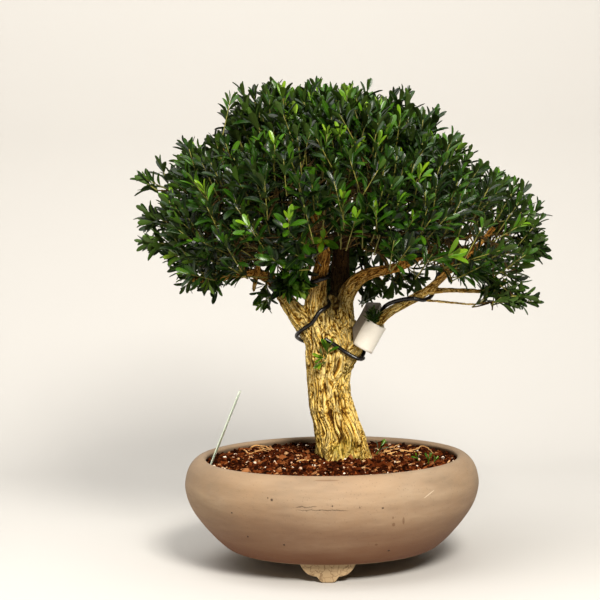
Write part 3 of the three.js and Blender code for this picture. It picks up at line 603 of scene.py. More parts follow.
warp = ware.node("ShaderNodeTexNoise", Vector=ware.place, Scale=110.0, Detail=3.0).outputs["Color"]
warped = ware.feed(ware.node("ShaderNodeVectorMath", {"operation": "MULTIPLY_ADD"}),
                   {0: warp, 1: (0.012, 0.012, 0.012), 2: ware.place}).outputs[0]
crazing = ware.node("ShaderNodeTexVoronoi", {"feature": "DISTANCE_TO_EDGE"}, Vector=warped, Scale=125.0)
slip = ware.mix(ware.range(crazing.outputs["Distance"], 0.0, 0.07, 0.7, 0.0), (172, 149, 114), (84, 58, 30))
footed = ware.mix(ware.range(ware_z, *FOOT_HEIGHTS, 0.85, 0.0), low_shaded, slip)
in_front = ware.range(ware_y, *FRONT_DEPTHS)


def pot_mark(x, z, across, upright, slope=0.0):
    """1 inside a small oval on the front of the pot and 0 outside it. The oval can slope."""
    aside = ware.minus(ware_x, x * MM + POT_AXIS[0])
    above = ware.minus(ware.minus(ware_z, z * MM), ware.times(aside, slope))
    left = ware.times(aside, 1 / (across * MM))
    rise = ware.times(above, 1 / (upright * MM))
    apart = ware.plus(ware.math("POWER", left, 2.0), ware.math("POWER", rise, 2.0))
    return ware.times(ware.range(apart, 0.6, 1.0, 1.0, 0.0), in_front)


def crack_line(height, sway, bends, span):
    """1 on a thin line that wanders along the front of the pot at a height, paler where worn."""
    wander = ware.node("ShaderNodeTexNoise", {"noise_dimensions": "1D"}, W=ware_x, Scale=bends, Detail=6.0,
                       Roughness=0.68).outputs["Fac"]
    line = ware.plus(ware.times(wander, sway * MM), height * MM)
    off_line = ware.math("ABSOLUTE", ware.minus(ware_z, line))
    reach = pot_mark(span[0], height, span[1], CRACK_REACH)
    worn = ware.range(ware.plus(specks["Height"], smears), 0.5, 1.0, 1.0, 0.35)
    return ware.times(ware.times(ware.range(off_line, 0.0001, 0.0008, 1.0, 0.0), reach), worn)


def strongest(masks):
    """The strongest of several masks at each place."""
    highest = masks[0]
    for mask in masks[1:]:
        highest = ware.math("MAXIMUM", highest, mask)
    return highest


marks = strongest([crack_line(*crack) for crack in CRACKS] + [pot_mark(*pit) for pit in POT_PITS])
stains = strongest([pot_mark(*stain) for stain in POT_STAINS])
stained = ware.mix(ware.times(stains, 0.5), footed, (84, 52, 26))
scratched = ware.mix(ware.times(pot_mark(*POT_SCRATCH), 0.55), stained, (200, 184, 162))
marked = ware.mix(ware.times(marks, 0.85), scratched, (50, 34, 24))
ware.set(Base_Color=ware.mix(ware.times(specks["Pit"], 0.5), marked, (70, 54, 42)),
         Roughness=ware.range(smears, 0, 1, 0.62, 0.82), Specular_IOR_Level=0.3)
ware.relief(ware.minus(ware.plus(specks["Height"], smears), ware.times(marks, 4.0)), 0.00025)
pot_shape = joined([(pot_wall, pot_faces), *feet])
add_piece("stoneware_pot", mesh_of("stoneware_pot", *pot_shape), ware.material, ["pot"])

# %% [markdown]
# The trunk, its root flare and its limbs grew as one piece. Each limb is a path with a radius
# at each station, measured from the front and completed towards the back. Tubes along the
# paths are merged by a voxel remesh, which joins them as one skin, and a few rounds of
# averaging round off the forks.

# %% Paths of the wood
# x, y, height and radius
TRUNK = [
    (12, 9, 94, 26), (12, 8, 110, 27.5), (10.2, 8, 128, 27), (6.8, 8, 148, 25.8), (1.2, 8, 168, 24),
    (-1.8, 8, 188, 23), (-2.2, 8, 206, 23.4), (0.5, 8, 224, 26), (1, 7, 242, 27), (-2, 6, 258, 26),
    (-4, 6, 272, 20),
]
LIMBS = {
    "low_left": [
        (-8, 3, 238, 15), (-24, 0, 262, 13), (-40, -4, 281, 9.4), (-52, -6, 298, 7.6),
        (-64, -7, 313, 6.2), (-80, -8, 320, 5.2), (-97, -9, 319, 4.3), (-116, -8, 316, 3.8),
        (-137, -6, 313, 3.2), (-157, -4, 316, 2.8),
    ],
    "left_stem": [
        (-6, 3, 250, 16), (-14, -2, 277, 13), (-14, -4, 292, 11.2), (-10, -4, 317, 8.4),
        (-5, -4, 340, 7.2), (-8, -4, 362, 6.2), (-14, -6, 384, 5.2), (-24, -8, 408, 4.2),
        (-34, -10, 440, 3.2),
    ],
    "back_stem": [
        (8, 9, 250, 17), (9, 12, 272, 14), (12, 14, 299, 10.8), (13, 15, 330, 9.4),
        (15, 16, 358, 8.2), (18, 18, 392, 6.6), (12, 16, 430, 4.8), (6, 12, 462, 3.6),
    ],
    "right_stem": [
        (12, 5, 248, 15), (15, 3, 268, 12), (17, 2, 287, 9.6), (23, 2, 301, 8.6), (33, 2, 312, 7.4),
        (46, 1, 318, 6.2), (62, 0, 321, 5.2), (79, 0, 325, 4.7), (95, 2, 332, 4.2),
        (122, 6, 350, 3.6), (142, 8, 370, 3.0),
    ],
    "low_right": [
        (10, 0, 214, 12), (18, -6, 224, 10), (27, -11, 236, 8.4), (39, -14, 251, 7),
        (55, -14, 268, 5.8), (67, -14, 277, 5.2), (80, -14, 284, 4.8), (93, -14, 291, 5),
        (104, -14, 297, 4.8), (114, -13, 305, 4.4), (124, -12, 314, 4), (138, -10, 327, 3.7),
        (154, -8, 339, 3.2), (168, -6, 352, 2.9), (180, -6, 366, 2.6),
    ],
    "low_right_fork": [
        (102, -14, 297, 3.6), (126, -16, 299, 2.8), (155, -18, 298, 2.5), (184, -21, 296, 2.2),
    ],
    "low_right_twig": [
        (92, -17, 289, 1.8), (110, -19, 288, 1.6), (131, -21, 286, 1.5), (153, -22, 284, 1.4),
        (178, -24, 286, 1.4), (194, -24, 289, 1.3),
    ],
    "snag": [(-82, -15, 300, 1.6), (-79, -12, 316, 3.2), (-75, -14, 334, 3), (-73, -15, 347, 2.6)],
    "stub": [(78, 0, 324, 4.6), (80, -4, 330, 4), (82, -7, 336, 3.4)],
}
BEARERS = ["low_left", "left_stem", "back_stem", "right_stem", "low_right", "low_right_fork"]
# azimuth and reach of each root, then distance out, height and share of its radius
ROOTS = [(-35, 46), (-112, 40), (140, 36), (75, 38)]
ROOT_CENTRE = (12, 8)
ROOT_STOPS = [(14, 152, 0.7), (23, 128, 1.0), (30, 113, 1.0)]
ROOT_TOE = (98, 0.8)
ROOT_RADIUS = 8.5
STATION_STEP = 3.0
WOOD_SIDES = 32


def root_path(azimuth, reach):
    """A root: it leaves the trunk high up and dives into the soil at its reach."""
    away = np.radians(azimuth)
    x, y = ROOT_CENTRE
    return [(x + out * np.cos(away), y + out * np.sin(away), height, ROOT_RADIUS * share)
            for out, height, share in [*ROOT_STOPS, (reach, *ROOT_TOE)]]


def with_stations(stops):
    """A path's stops as evenly close stations of x, y, z and radius."""
    length = np.linalg.norm(np.diff(np.array(stops)[:, :3], axis=0), axis=1).sum()
    return through(stops, max(4, int(length / STATION_STEP)))


wood_paths = {"trunk": with_stations(TRUNK)}
wood_paths.update({name: with_stations(stops) for name, stops in LIMBS.items()})
wood_paths.update({f"root_{i}": with_stations(root_path(*root)) for i, root in enumerate(ROOTS)})
wood_blank = joined([tube(path[:, :3], path[:, 3], WOOD_SIDES) for path in wood_paths.values()])
print(f"{len(wood_paths)} limbs and roots")

# %% Merge the wood into one skin
VOXEL = 1.05
SMOOTHING_ROUNDS = 5


def remeshed(name, shape, voxel):
    """The points (in millimetres) and faces of overlapping closed shapes merged into one skin."""
    blank = bpy.data.objects.new(name, mesh_of(name, *shape))
    bpy.context.scene.collection.objects.link(blank)
    remesh = blank.modifiers.new("merge", "REMESH")
    remesh.mode = "VOXEL"
    remesh.voxel_size = voxel * MM
    merged = blank.evaluated_get(bpy.context.evaluated_depsgraph_get()).to_mesh()
    points = np.empty(len(merged.vertices) * 3)
    merged.vertices.foreach_get("co", points)
    corners = np.empty(len(merged.loops), dtype=np.int64)
    merged.loops.foreach_get("vertex_index", corners)
    bpy.data.objects.remove(blank)
    return (points.reshape(-1, 3) - POT_AXIS) / MM, corners.reshape(-1, 4)


def averaged(points, faces, rounds):
    """Each point moves halfway to the mean of its neighbours, once for every round."""
    edges = np.concatenate([faces[:, [0, 1]], faces[:, [1, 2]], faces[:, [2, 3]], faces[:, [3, 0]]])
    share = np.bincount(edges[:, 0], minlength=len(points))[:, None]
    for _ in range(rounds):
        total = [np.bincount(edges[:, 0], points[edges[:, 1], k], len(points)) for k in range(3)]
        points = points * 0.5 + 0.5 * np.column_stack(total) / share
    return points


def point_normals(points, faces):
    """The mean direction of the faces round each point."""
    diagonal = points[faces[:, 2]] - points[faces[:, 0]]
    other = points[faces[:, 3]] - points[faces[:, 1]]
    flat = np.cross(diagonal, other)
    return unit(np.column_stack([
        np.bincount(faces.ravel(), np.repeat(flat[:, k], 4), len(points)) for k in range(3)]))


skin, skin_faces = remeshed("wood_blank", wood_blank, VOXEL)
skin = averaged(skin, skin_faces, SMOOTHING_ROUNDS)
outwards = point_normals(skin, skin_faces)
print(f"wood skin: {len(skin)} points")

# %% [markdown]
# Old boxwood bark is corky. Long ridges run with the grain, wander, join and part again, and
# thin dark cracks lie between them. A picture of cracks would stretch over the forks, so the
# cracks are worked out in each limb's own frame: two places across the limb and the length
# along it. All three are counted in ridge widths, and a thin limb has narrow ridges, so the
# length is added up step by step along the limb. Cracks lie where smooth noise passes through
# zero. Where the noise is read with the length pressed together, the lines come out long.

# %% Noise in the limb's frame
LATTICE = 32
CHUNK = 2500
TRUNK_FAVOUR = 3.5
RIDGE_WIDTH = [1.5, 0.085]
LIMB_SHIFT = 13.7


def lattice_noise(places, seed):
    """Smooth noise of about -1 to 1: every corner of a cube has a direction drawn for it, and
    the noise is how far a place lies along the corners' directions, blended by an ease."""
    directions = unit(np.random.default_rng(seed).normal(size=(LATTICE, LATTICE, LATTICE, 3)))
    whole = np.floor(places).astype(int)
    part = places - whole
    ease = part * part * (3 - 2 * part)
    total = np.zeros(len(places))
    for corner in np.ndindex(2, 2, 2):
        index = (whole + corner) % LATTICE
        weight = np.where(corner, ease, 1 - ease).prod(axis=1)
        total += weight * (directions[index[:, 0], index[:, 1], index[:, 2]] * (part - corner)).sum(axis=1)
    return total * NOISE_GAIN


def nearest_station(points):
    """The station whose tube's surface is nearest to each point."""
    best = np.empty(len(points), dtype=np.int64)
    for start in range(0, len(points), CHUNK):
        some = points[start:start + CHUNK]
        gap = np.linalg.norm(some[:, None] - stations[None, :, :3], axis=-1) - stations[:, 3]
        best[start:start + CHUNK] = (gap - favour).argmin(axis=1)
    return best


def at_stations(limb):
    """1 at the stations of one limb and 0 at all others."""
    return np.concatenate([np.full(len(path), float(name == limb)) for name, path in wood_paths.items()])


stations = np.vstack(list(wood_paths.values()))
favour = TRUNK_FAVOUR * at_stations("trunk")
station_frames = np.concatenate([np.stack(frames_along(path[:, :3]), 1) for path in wood_paths.values()])
station_width = RIDGE_WIDTH[0] + RIDGE_WIDTH[1] * stations[:, 3]
run_widths = []
for number, path in enumerate(wood_paths.values()):
    steps = np.linalg.norm(np.diff(path[:, :3], axis=0), axis=1)
    widths = RIDGE_WIDTH[0] + RIDGE_WIDTH[1] * (path[1:, 3] + path[:-1, 3]) / 2
    run_widths.append(LIMB_SHIFT * number + np.append(0, (steps / widths).cumsum()))
run_widths = np.concatenate(run_widths)

station_of = nearest_station(skin)
girth = stations[station_of, 3]
ridge_width = station_width[station_of, None]
from_station = skin - stations[station_of, :3]
local = np.einsum("nij,nj->ni", station_frames[station_of], from_station) / ridge_width
limb_place = np.column_stack([local[:, 1:], run_widths[station_of] + local[:, 0]])
print(f"grain: {len(stations)} stations")

# %% Long ridges and cracks
GRAIN_STRETCH = 15.0
CRACK_DEPTH = [0.4, 0.08]
BURL = (24, 209)
BURL_REACH = 15.0
BURL_TURN = 0.26
BURL_STRETCH = 3.0
# size of the noise across and along the limb, shift, seeds and weight
BENDS = [((2.6, 2.6, 8.0), 7.3, (81, 82), 1.0), ((1.6, 1.6, 4.5), 4.7, (91, 92), 0.35)]
WANDER = 1.3

from_burl = skin[:, [0, 2]] - np.array(BURL)
swirl = BURL_TURN * np.exp(-(from_burl**2).sum(axis=1) / BURL_REACH**2) * (skin[:, 1] < 0)
limb_place[:, 0] += swirl * from_burl[:, 1]
limb_place[:, 2] -= swirl * from_burl[:, 0] * BURL_STRETCH

sideways = 0
for cells, shift, seeds, weight in BENDS:
    cell_place = limb_place / cells
    sideways = sideways + weight * np.column_stack([lattice_noise(cell_place, seeds[0]),
                                                    lattice_noise(cell_place + shift, seeds[1])])
wandered = limb_place.copy()
wandered[:, :2] += sideways * WANDER
grain_place = wandered / (1.0, 1.0, GRAIN_STRETCH)

main_cracks = np.abs(lattice_noise(grain_place, 83))
side_cracks = np.abs(lattice_noise(grain_place * (1.3, 1.3, 1.5) + 3.1, 84)) * 1.25
fine_cracks = np.abs(lattice_noise(grain_place * (2.2, 2.2, 1.7) + 5.7, 85))
off_crack_line = np.minimum(main_cracks, side_cracks)
crack_width = 0.15 + 0.09 * lattice_noise(limb_place / BENDS[0][0] * 0.8 + 11.0, 86)
ridge = smoothstep(0.0, crack_width, off_crack_line)
rounded = np.sqrt(np.clip(off_crack_line / 0.45, 0, 1))
furrow = smoothstep(0.0, 0.24, fine_cracks)
swell = lattice_noise(grain_place * (0.5, 0.5, 0.8) + 1.9, 87)
crack_depth = CRACK_DEPTH[0] + CRACK_DEPTH[1] * girth
relief = crack_depth * (0.3 - 0.8 * (1 - ridge) + 0.7 * (rounded - 0.6) - 0.25 * (1 - furrow) + 0.5 * swell)
print(f"bark: cracks {crack_depth.min():.1f} to {crack_depth.max():.1f} mm deep")

# %% [markdown]
# Some forms of this trunk aren't left to noise: deep creases down its front, a crease across
# it below the burl, and a root that stands out at the lower right. Each is a line on the
# front with a width and a depth, and moves the bark by a bell curve of the distance from it.

# %% Creases and the standing root
# x and height of each place, width and depth
CREASES = [
    ([(-8, 207), (-7, 192), (-4, 181), (-1, 168), (1, 155), (2, 142)], 2.2, 2.6),
    ([(8, 184), (12, 173), (15, 160), (14, 146), (13, 133), (17, 119)], 2.6, 3.6),
    ([(-20, 203), (-19, 186), (-17, 168), (-14, 148), (-12, 131)], 1.7, 1.8),
    ([(-1, 200), (6, 202), (14, 205), (21, 212)], 1.6, 1.6),
    ([(10, 288), (6, 274), (4, 258), (1, 246)], 2.4, 2.6),
]
STANDING_ROOT = [([(11, 190), (21, 175), (27, 159), (31, 141), (36, 124), (37, 110)], 7.0, 3.6),
                 ([(32, 138), (35, 124), (36, 108)], 8.0, 7.0)]
FRONTWARDS = np.array([0.1, -0.995, 0.0])
LINE_STATIONS = 40

front_skin = np.flatnonzero((skin[:, 1] < 4) & (np.abs(skin[:, 0]) < 60) & (skin[:, 2] < 295))


def near_lines(lines):
    """For each line drawn on the front, its size times a bell curve of the distance from it."""
    total = np.zeros(len(skin))
    for line, width, size in lines:
        places = through(line, LINE_STATIONS)
        aside, above = skin[front_skin, :1] - places[:, 0], skin[front_skin, 2:] - places[:, 1]
        off = np.hypot(aside, above).min(axis=1)
        total[front_skin] += size * np.exp(-((off / width) ** 2))
    return total


crease = near_lines(CREASES)
rolling = waves(skin, 38, 31, 0.05) * girth
bark_points = skin + outwards * (rolling + relief - crease)[:, None]
bark_points += FRONTWARDS * near_lines(STANDING_ROOT)[:, None]
print(f"creases: up to {crease.max():.1f} mm deep")

# %% [markdown]
# The bark's colour follows its height: ridges are worn pale and cracks are dark. Younger bark
# higher up is redder, and moss greens a few places near the soil and the burl. The stem at the
# back, the fork and the hollows between the stems get painted shade, nearly black, the carved
# creases get painted shade too, and the ridges higher up the trunk get painted light. The mesh
# carries all of these as numbers at its points, and the material adds fine splits along the grain.

# %% Bark finish
# place and reach
MOSSY_SPOTS = [((20, -22, 118), 12), ((25, -16, 206), 12), ((6, -22, 128), 7), ((20, -18, 134), 7),
               ((-8, 26, 140), 22)]
# Painted shade: places in the fork and between the stems, and the heights over which the stem at the back
# turns nearly black.
PAINTED_SHADE_SPOTS = [((5, -6, 288), 13), ((2, -14, 279), 10), ((6, -8, 262), 7)]
SHADED_STEM_HEIGHTS = (252, 272)
PAINTED_SHADE_SHARE = 0.93
# Painted light: ridges higher up the trunk are made paler.
PAINTED_LIGHT_ABOVE = 0.16
PAINTED_LIGHT_HEIGHTS = (150, 240)
# Painted shade in the carved creases, up to a limit.
CREASE_PAINTED_SHADE = 0.07
CREASE_LIMIT = 2.5
YOUNG_HEIGHTS = (276, 330)


def spots(places):
    """For each spot, a bell curve of the distance from it."""
    return [np.exp(-((skin - np.array(spot)) ** 2).sum(axis=1) / reach**2) for spot, reach in places]


bark = Finish("bark")
limb_grain = bark.value_at("grain", "Vector")
streaks = bark.mottled(1.6, 4.5, 0.5, limb_grain)


def split_lines(scale, shift, width):
    """1 on thin lines along the grain, where noise crosses its middle, and 0 away from them."""
    noise = bark.node("ShaderNodeTexNoise", {"noise_dimensions": "4D"}, Vector=limb_grain, W=shift,
                      Scale=scale, Detail=1.0, Roughness=0.4).outputs["Fac"]
    return bark.range(bark.math("ABSOLUTE", bark.minus(noise, 0.5)), 0.0, width, 1.0, 0.0)


splits = split_lines(1.15, 0.0, 0.055)
hairs = split_lines(2.4, 3.0, 0.045)
fleck = bark.mottled(90.0, 700.0, 0.5)
rough = bark.gritty(1500.0, 500.0, 0.3)
raised = bark.plus(bark.value_at("ridge"), bark.range(streaks, 0, 1, -0.15, 0.15))
cork = bark.ramp(raised, [(0.0, (44, 18, 0)), (0.2, (108, 66, 12)), (0.42, (194, 152, 60)),
                          (0.7, (234, 200, 106)), (1.0, (250, 225, 150))])
young = bark.ramp(raised, [(0.0, (40, 16, 2)), (0.25, (94, 48, 10)), (0.6, (166, 104, 34)),
                           (1.0, (216, 158, 76))])
aged = bark.mix(bark.value_at("young"), cork, young)
flecked = bark.mix(bark.times(fleck, 0.3), aged, (188, 140, 54))
split_dark = bark.mix(bark.times(splits, 0.85), flecked, (52, 26, 2))
haired = bark.mix(bark.times(hairs, 0.45), split_dark, (88, 50, 8))
# painted shade: nearly black on the stem at the back, in the fork and between the stems
with_painted_shade = bark.mix(bark.value_at("painted_shade"), haired, (20, 11, 5))
green = bark.times(bark.value_at("moss"), bark.times(fleck, 0.8))
bark.set(Base_Color=bark.mix(green, with_painted_shade, (112, 118, 36)), Roughness=0.9, Specular_IOR_Level=0.1)
knobbly = bark.plus(bark.times(rough["Height"], 0.5), streaks)
grooved = bark.plus(bark.times(splits, 1.2), bark.times(hairs, 0.5))
bark.relief(bark.minus(knobbly, grooved), 0.0009)

# painted shade on the stem at the back and at the spots in the fork
shaded_back_stem = at_stations("back_stem")[station_of] * smoothstep(*SHADED_STEM_HEIGHTS, skin[:, 2])
painted_shade = np.max([shaded_back_stem, *spots(PAINTED_SHADE_SPOTS)], axis=0)
# ridge height, with painted light on the ridges higher up the trunk
height = (ridge * (0.4 + 0.3 * rounded + 0.3 * furrow) + 0.14 * swell
          + PAINTED_LIGHT_ABOVE * ridge * smoothstep(*PAINTED_LIGHT_HEIGHTS, skin[:, 2]))
# painted shade: darker in the carved creases
height -= CREASE_PAINTED_SHADE * np.clip(crease, 0, CREASE_LIMIT)
wood_values = {"ridge": np.clip(height, 0, 1), "moss": np.clip(sum(spots(MOSSY_SPOTS)), 0, 1),
               "grain": grain_place, "painted_shade": np.clip(painted_shade * PAINTED_SHADE_SHARE, 0, 1),
               "young": smoothstep(*YOUNG_HEIGHTS, skin[:, 2])}
add_piece("old_wood", mesh_of("old_wood", bark_points, skin_faces, values=wood_values),
          bark.material, ["trunk_and_limbs"])

# %% [markdown]
# The pot is filled with bark grit and perlite. The bed is the profile of the pot's inside,
# closed by a low mound with small bumps. A smooth bed would look like putty, so thousands of
# loose chips lie on it: each is a box whose corners are moved a little, turned and tipped by
# chance. They share one mesh, and every chip carries its own number, from which the finish
# takes its colour. The perlite is made the same way from small lumpy balls.

# %% Soil bed
SOIL_TOP = [(0, 115), (48, 115), (82, 112), (118, 110.5), (144, 109)]
SOIL_WALL = [(148.4, 101), (150, 86), (143.2, 62), (129.2, 44.6), (111, 33.4), (30, 34.4), (0.01, 34.4)]
SOIL_SIDES = 144
SOIL_RINGS = 58
MOUND_BUMP = 1.2
BED_SINK = 0.6


def soil_height(x, y):
    """Height of the mound: a line from the lip to the trunk plus two sums of waves."""
    coarse = np.sin(x * 0.061 + 1.3) * np.cos(y * 0.073 - 0.6)
    fine = np.sin(x * 0.17 - y * 0.11) * np.cos(y * 0.19 + x * 0.05)
    line = np.interp(np.hypot(x, y), *np.array(SOIL_TOP, float).T)
    return line + MOUND_BUMP * (coarse + 0.6 * fine)


rings = np.linspace(0.01, SOIL_TOP[-1][0], SOIL_RINGS)
bed_top = turned(np.column_stack([rings, rings]), SOIL_SIDES)
bed_top[..., 2] = soil_height(bed_top[..., 0], bed_top[..., 1]) - BED_SINK
bed = np.concatenate([bed_top, turned(SOIL_WALL, SOIL_SIDES)])
bed_faces = grid_faces(len(bed), SOIL_SIDES, wrap=True)[:, ::-1]

soil_finish = Finish("soil")
soil_mottle = soil_finish.mottled(60.0, 900.0, 0.5)
bits = soil_finish.ramp(soil_finish.value_at("grain"), [
    (0.0, (18, 4, 0)), (0.4, (44, 14, 3)), (0.7, (82, 34, 10)), (0.86, (114, 56, 22)),
    (0.95, (144, 88, 48)), (0.985, (182, 132, 88)), (1.0, (212, 172, 126))])
soil_finish.set(Base_Color=soil_finish.mix(soil_finish.times(soil_mottle, 0.4), bits, (38, 15, 5)),
                Roughness=0.95, Specular_IOR_Level=0.03)
soil_finish.relief(soil_finish.gritty(1800.0, 600.0, 0.4)["Height"], 0.0003)
bed_points = bed.reshape(-1, 3)
bed_mesh = mesh_of("soil_bed", bed_points, bed_faces, values={"grain": np.full(len(bed_points), 0.2)})
add_piece("soil_bed", bed_mesh, soil_finish.material, ["soil"])

# %% Chips
SOIL_RADIUS = 141.5
TRUNK_FOOT = (12, 8, 25)
CHIP_COUNT = 9000
CHIP_LIFT = (-0.6, 1.9)
CHIP_SIDES = [(1.1, 2.4), (0.7, 1.5), (0.4, 0.9)]
CHIP_TILT = 0.5
CHIP_RAGGED = 0.4
BOX_CORNERS = np.array([(x, y, z) for z in (-1, 1) for y in (-1, 1) for x in (-1, 1)], float)
BOX_FACES = np.array([(0, 2, 3), (0, 3, 1), (4, 5, 7), (4, 7, 6), (0, 1, 5), (0, 5, 4), (2, 6, 7), (2, 7, 3),
                      (0, 4, 6), (0, 6, 2), (1, 3, 7), (1, 7, 5)])


def strewn(count, radius):
    """Places spread evenly by chance over the soil, none of them inside the trunk."""
    reach = radius * np.sqrt(draw.uniform(0, 1, count * 2))
    angle = draw.uniform(0, 2 * np.pi, count * 2)
    x, y = reach * np.cos(angle), reach * np.sin(angle)
    clear = np.hypot(x - TRUNK_FOOT[0], y - TRUNK_FOOT[1]) > TRUNK_FOOT[2]
    return x[clear][:count], y[clear][:count]


def turns_about(axis, angle):
    """Turning matrices about one axis: the two axes after it turn into each other."""
    first, second = (axis + 1) % 3, (axis + 2) % 3
    turns = np.zeros((len(angle), 3, 3))
    turns[:, axis, axis] = 1
    turns[:, first, first] = turns[:, second, second] = np.cos(angle)
    turns[:, first, second] = -np.sin(angle)
    turns[:, second, first] = np.sin(angle)
    return turns


def tumbled(count, tilt):
    """Turning matrices: a free turn about the upright after tilts about two level lines."""
    spin, lean = draw.uniform(0, 2 * np.pi, count), draw.normal(0, tilt, count)
    roll = draw.normal(0, tilt, count)
    return turns_about(2, spin) @ turns_about(0, lean) @ turns_about(1, roll)


def scattered(corners, faces, places, sizes, turns, ragged):
    """Copies of a small shape: its corners are scaled, moved a little by chance, turned and
    put in place. Each copy keeps a number of its own."""
    count = len(places)
    shaped = corners[None] * sizes[:, None] * (1 + ragged * draw.uniform(-1, 1, (count, len(corners), 3)))
    points = np.einsum("nij,nkj->nki", turns, shaped) + places[:, None]
    number = np.repeat(draw.uniform(0, 1, count), len(corners))
    return points.reshape(-1, 3), repeated(faces, count, len(corners)), number


def add_bits(name, bits, material):
    """Shows scattered copies as one piece whose points carry their copy's number."""
    points, faces, number = bits
    add_piece(name, mesh_of(name, points, faces, smooth=False, values={"grain": number}), material)


chip_x, chip_y = strewn(CHIP_COUNT, SOIL_RADIUS)
chip_lift = draw.uniform(*CHIP_LIFT, len(chip_x))
chip_places = np.column_stack([chip_x, chip_y, soil_height(chip_x, chip_y) + chip_lift])
chip_size = draw.lognormal(-0.14, 0.42, len(chip_x)).clip(0.45, 2.2)
chip_sizes = chip_size[:, None] * np.column_stack([draw.uniform(*span, len(chip_x)) for span in CHIP_SIDES])
chip_turns = tumbled(len(chip_x), CHIP_TILT)
add_bits("bark_chips", scattered(BOX_CORNERS, BOX_FACES, chip_places, chip_sizes, chip_turns, CHIP_RAGGED),
         soil_finish.material)

# %% Perlite
PERLITE_COUNT = 190
PERLITE_LIFT = 0.9
PERLITE_TILT = 1.5
PERLITE_RAGGED = 0.16
BALL_LINE = [(0, 0, -0.95), (0, 0, -0.5), (0, 0, 0.5), (0, 0, 0.95)]
BALL_RADII = [0.5, 0.95, 0.9, 0.45]

pearl_x, pearl_y = strewn(PERLITE_COUNT, SOIL_RADIUS - 1)
pearl_places = np.column_stack([pearl_x, pearl_y, soil_height(pearl_x, pearl_y) + PERLITE_LIFT])
pearl_sizes = draw.uniform(0.7, 2.4, (len(pearl_x), 1)) * draw.uniform(0.75, 1.1, (len(pearl_x), 3))
pearl_turns = tumbled(len(pearl_x), PERLITE_TILT)
perlite = Finish("perlite")
perlite.set(Base_Color=perlite.ramp(perlite.value_at("grain"), [
    (0.0, (186, 142, 112)), (0.4, (214, 188, 160)), (1.0, (242, 228, 208))]), Roughness=0.9)
perlite.relief(perlite.gritty(1600.0, 900.0, 0.6)["Height"], 0.0004)
add_bits("perlite_grains", scattered(*tube(BALL_LINE, BALL_RADII, 7), pearl_places, pearl_sizes, pearl_turns,
                                     PERLITE_RAGGED), perlite.material)

# %% [markdown]
# The crown is a low dome of short shoots. Its outline from the front is measured every
# fifteen degrees, and its depth is a half ellipse. Shoot tips are spread evenly over that
# dome in three layers, each pushed in a little between the sprays so that the crown looks
# like pads and not like a ball. Shoots grow to the light, so they stand up more than out.
# Hollows at the front, where old twigs were pruned, let the dark inside show.

# %% Sprays of the crown
CROWN_CENTRE = np.array([8.0, 0.0, 387.0])
OUTLINE_STEP = 15
CROWN_OUTLINE = [236, 182, 160, 148, 150, 147, 147, 154, 170, 171, 172, 198,
                 210, 208, 178, 130, 104, 94, 90, 92, 100, 118, 178, 238]
SPRAY_OUTLINE = [231, 181, 159, 148, 148, 144, 147, 152, 163, 170, 174, 198,
                 202, 195, 166, 132, 106, 98, 94, 96, 104, 118, 176, 226]
CROWN_HALF_DEPTH = 188.0
SPRAY_HALF_DEPTH = 190.0
SPRAY_DEPTH = 66.0
# name, number of sprays, rise and first azimuth in degrees
TIERS = [("spray_apex", 1, 90, 0), ("spray_upper", 5, 50, 70), ("spray_middle", 9, 17, 10),
         ("spray_lower", 10, -11, -72)]


def outline_reach(directions, outline, half_depth):
    """Distance from the crown's middle to its surface: an ellipse between the outline in the
    upright plane and the half depth across it."""
    angle = np.degrees(np.arctan2(directions[:, 2], directions[:, 0])) % 360
    radius = np.interp(angle, np.arange(len(outline) + 1) * OUTLINE_STEP, outline + outline[:1])
    flat = directions[:, 0] ** 2 + directions[:, 2] ** 2
    return 1 / np.sqrt(flat / radius**2 + (directions[:, 1] / half_depth) ** 2)


def heading(azimuth, rise):
    """A unit direction from its azimuth and its rise above level, in degrees."""
    around, up = np.radians(azimuth), np.radians(rise)
    return np.array([np.cos(up) * np.cos(around), np.cos(up) * np.sin(around), np.sin(up)])


spray_names = []
spray_headings = []
for tier, count, rise, first_azimuth in TIERS:
    for step in range(count):
        spray_names.append(tier if count == 1 else f"{tier}_{step + 1}")
        spray_headings.append(heading(first_azimuth + step * 360 / count, rise))
spray_headings = np.array(spray_headings)
spray_reach = outline_reach(spray_headings, SPRAY_OUTLINE, SPRAY_HALF_DEPTH) - SPRAY_DEPTH
spray_middles = CROWN_CENTRE + spray_headings * spray_reach[:, None]
print(f"{len(spray_names)} sprays round the crown")

# %% Shoots of the crown
# number of shoots, share of the dome's size and lowest sine
LAYERS = [(640, 1.0, -0.40), (360, 0.84, -0.36), (200, 0.66, -0.30)]
NEAR_TOP = 0.995
DIRECTION_JITTER = 0.05
PAD_DEPTH = 0.085
PAD_EDGES = (0.985, 0.92)
UPWARD_SPAN = (-0.4, 0.35)
OUTWARD_SHARE = 0.6
LEAN_JITTER = 0.17
LEAF_OVERHANG = 15.0
DEEPEST_TIP = 13
STRAGGLER_SHARE = 0.12
STRAGGLER_REACH = 12


def even_directions(count, lowest):
    """Directions spread over the sphere above a sine: each turns by the golden angle."""
    sines = np.linspace(NEAR_TOP, lowest, count)
    around = np.arange(count) * np.pi * (3 - np.sqrt(5))
    level_part = np.sqrt(1 - sines**2)
    return np.column_stack([level_part * np.cos(around), level_part * np.sin(around), sines])


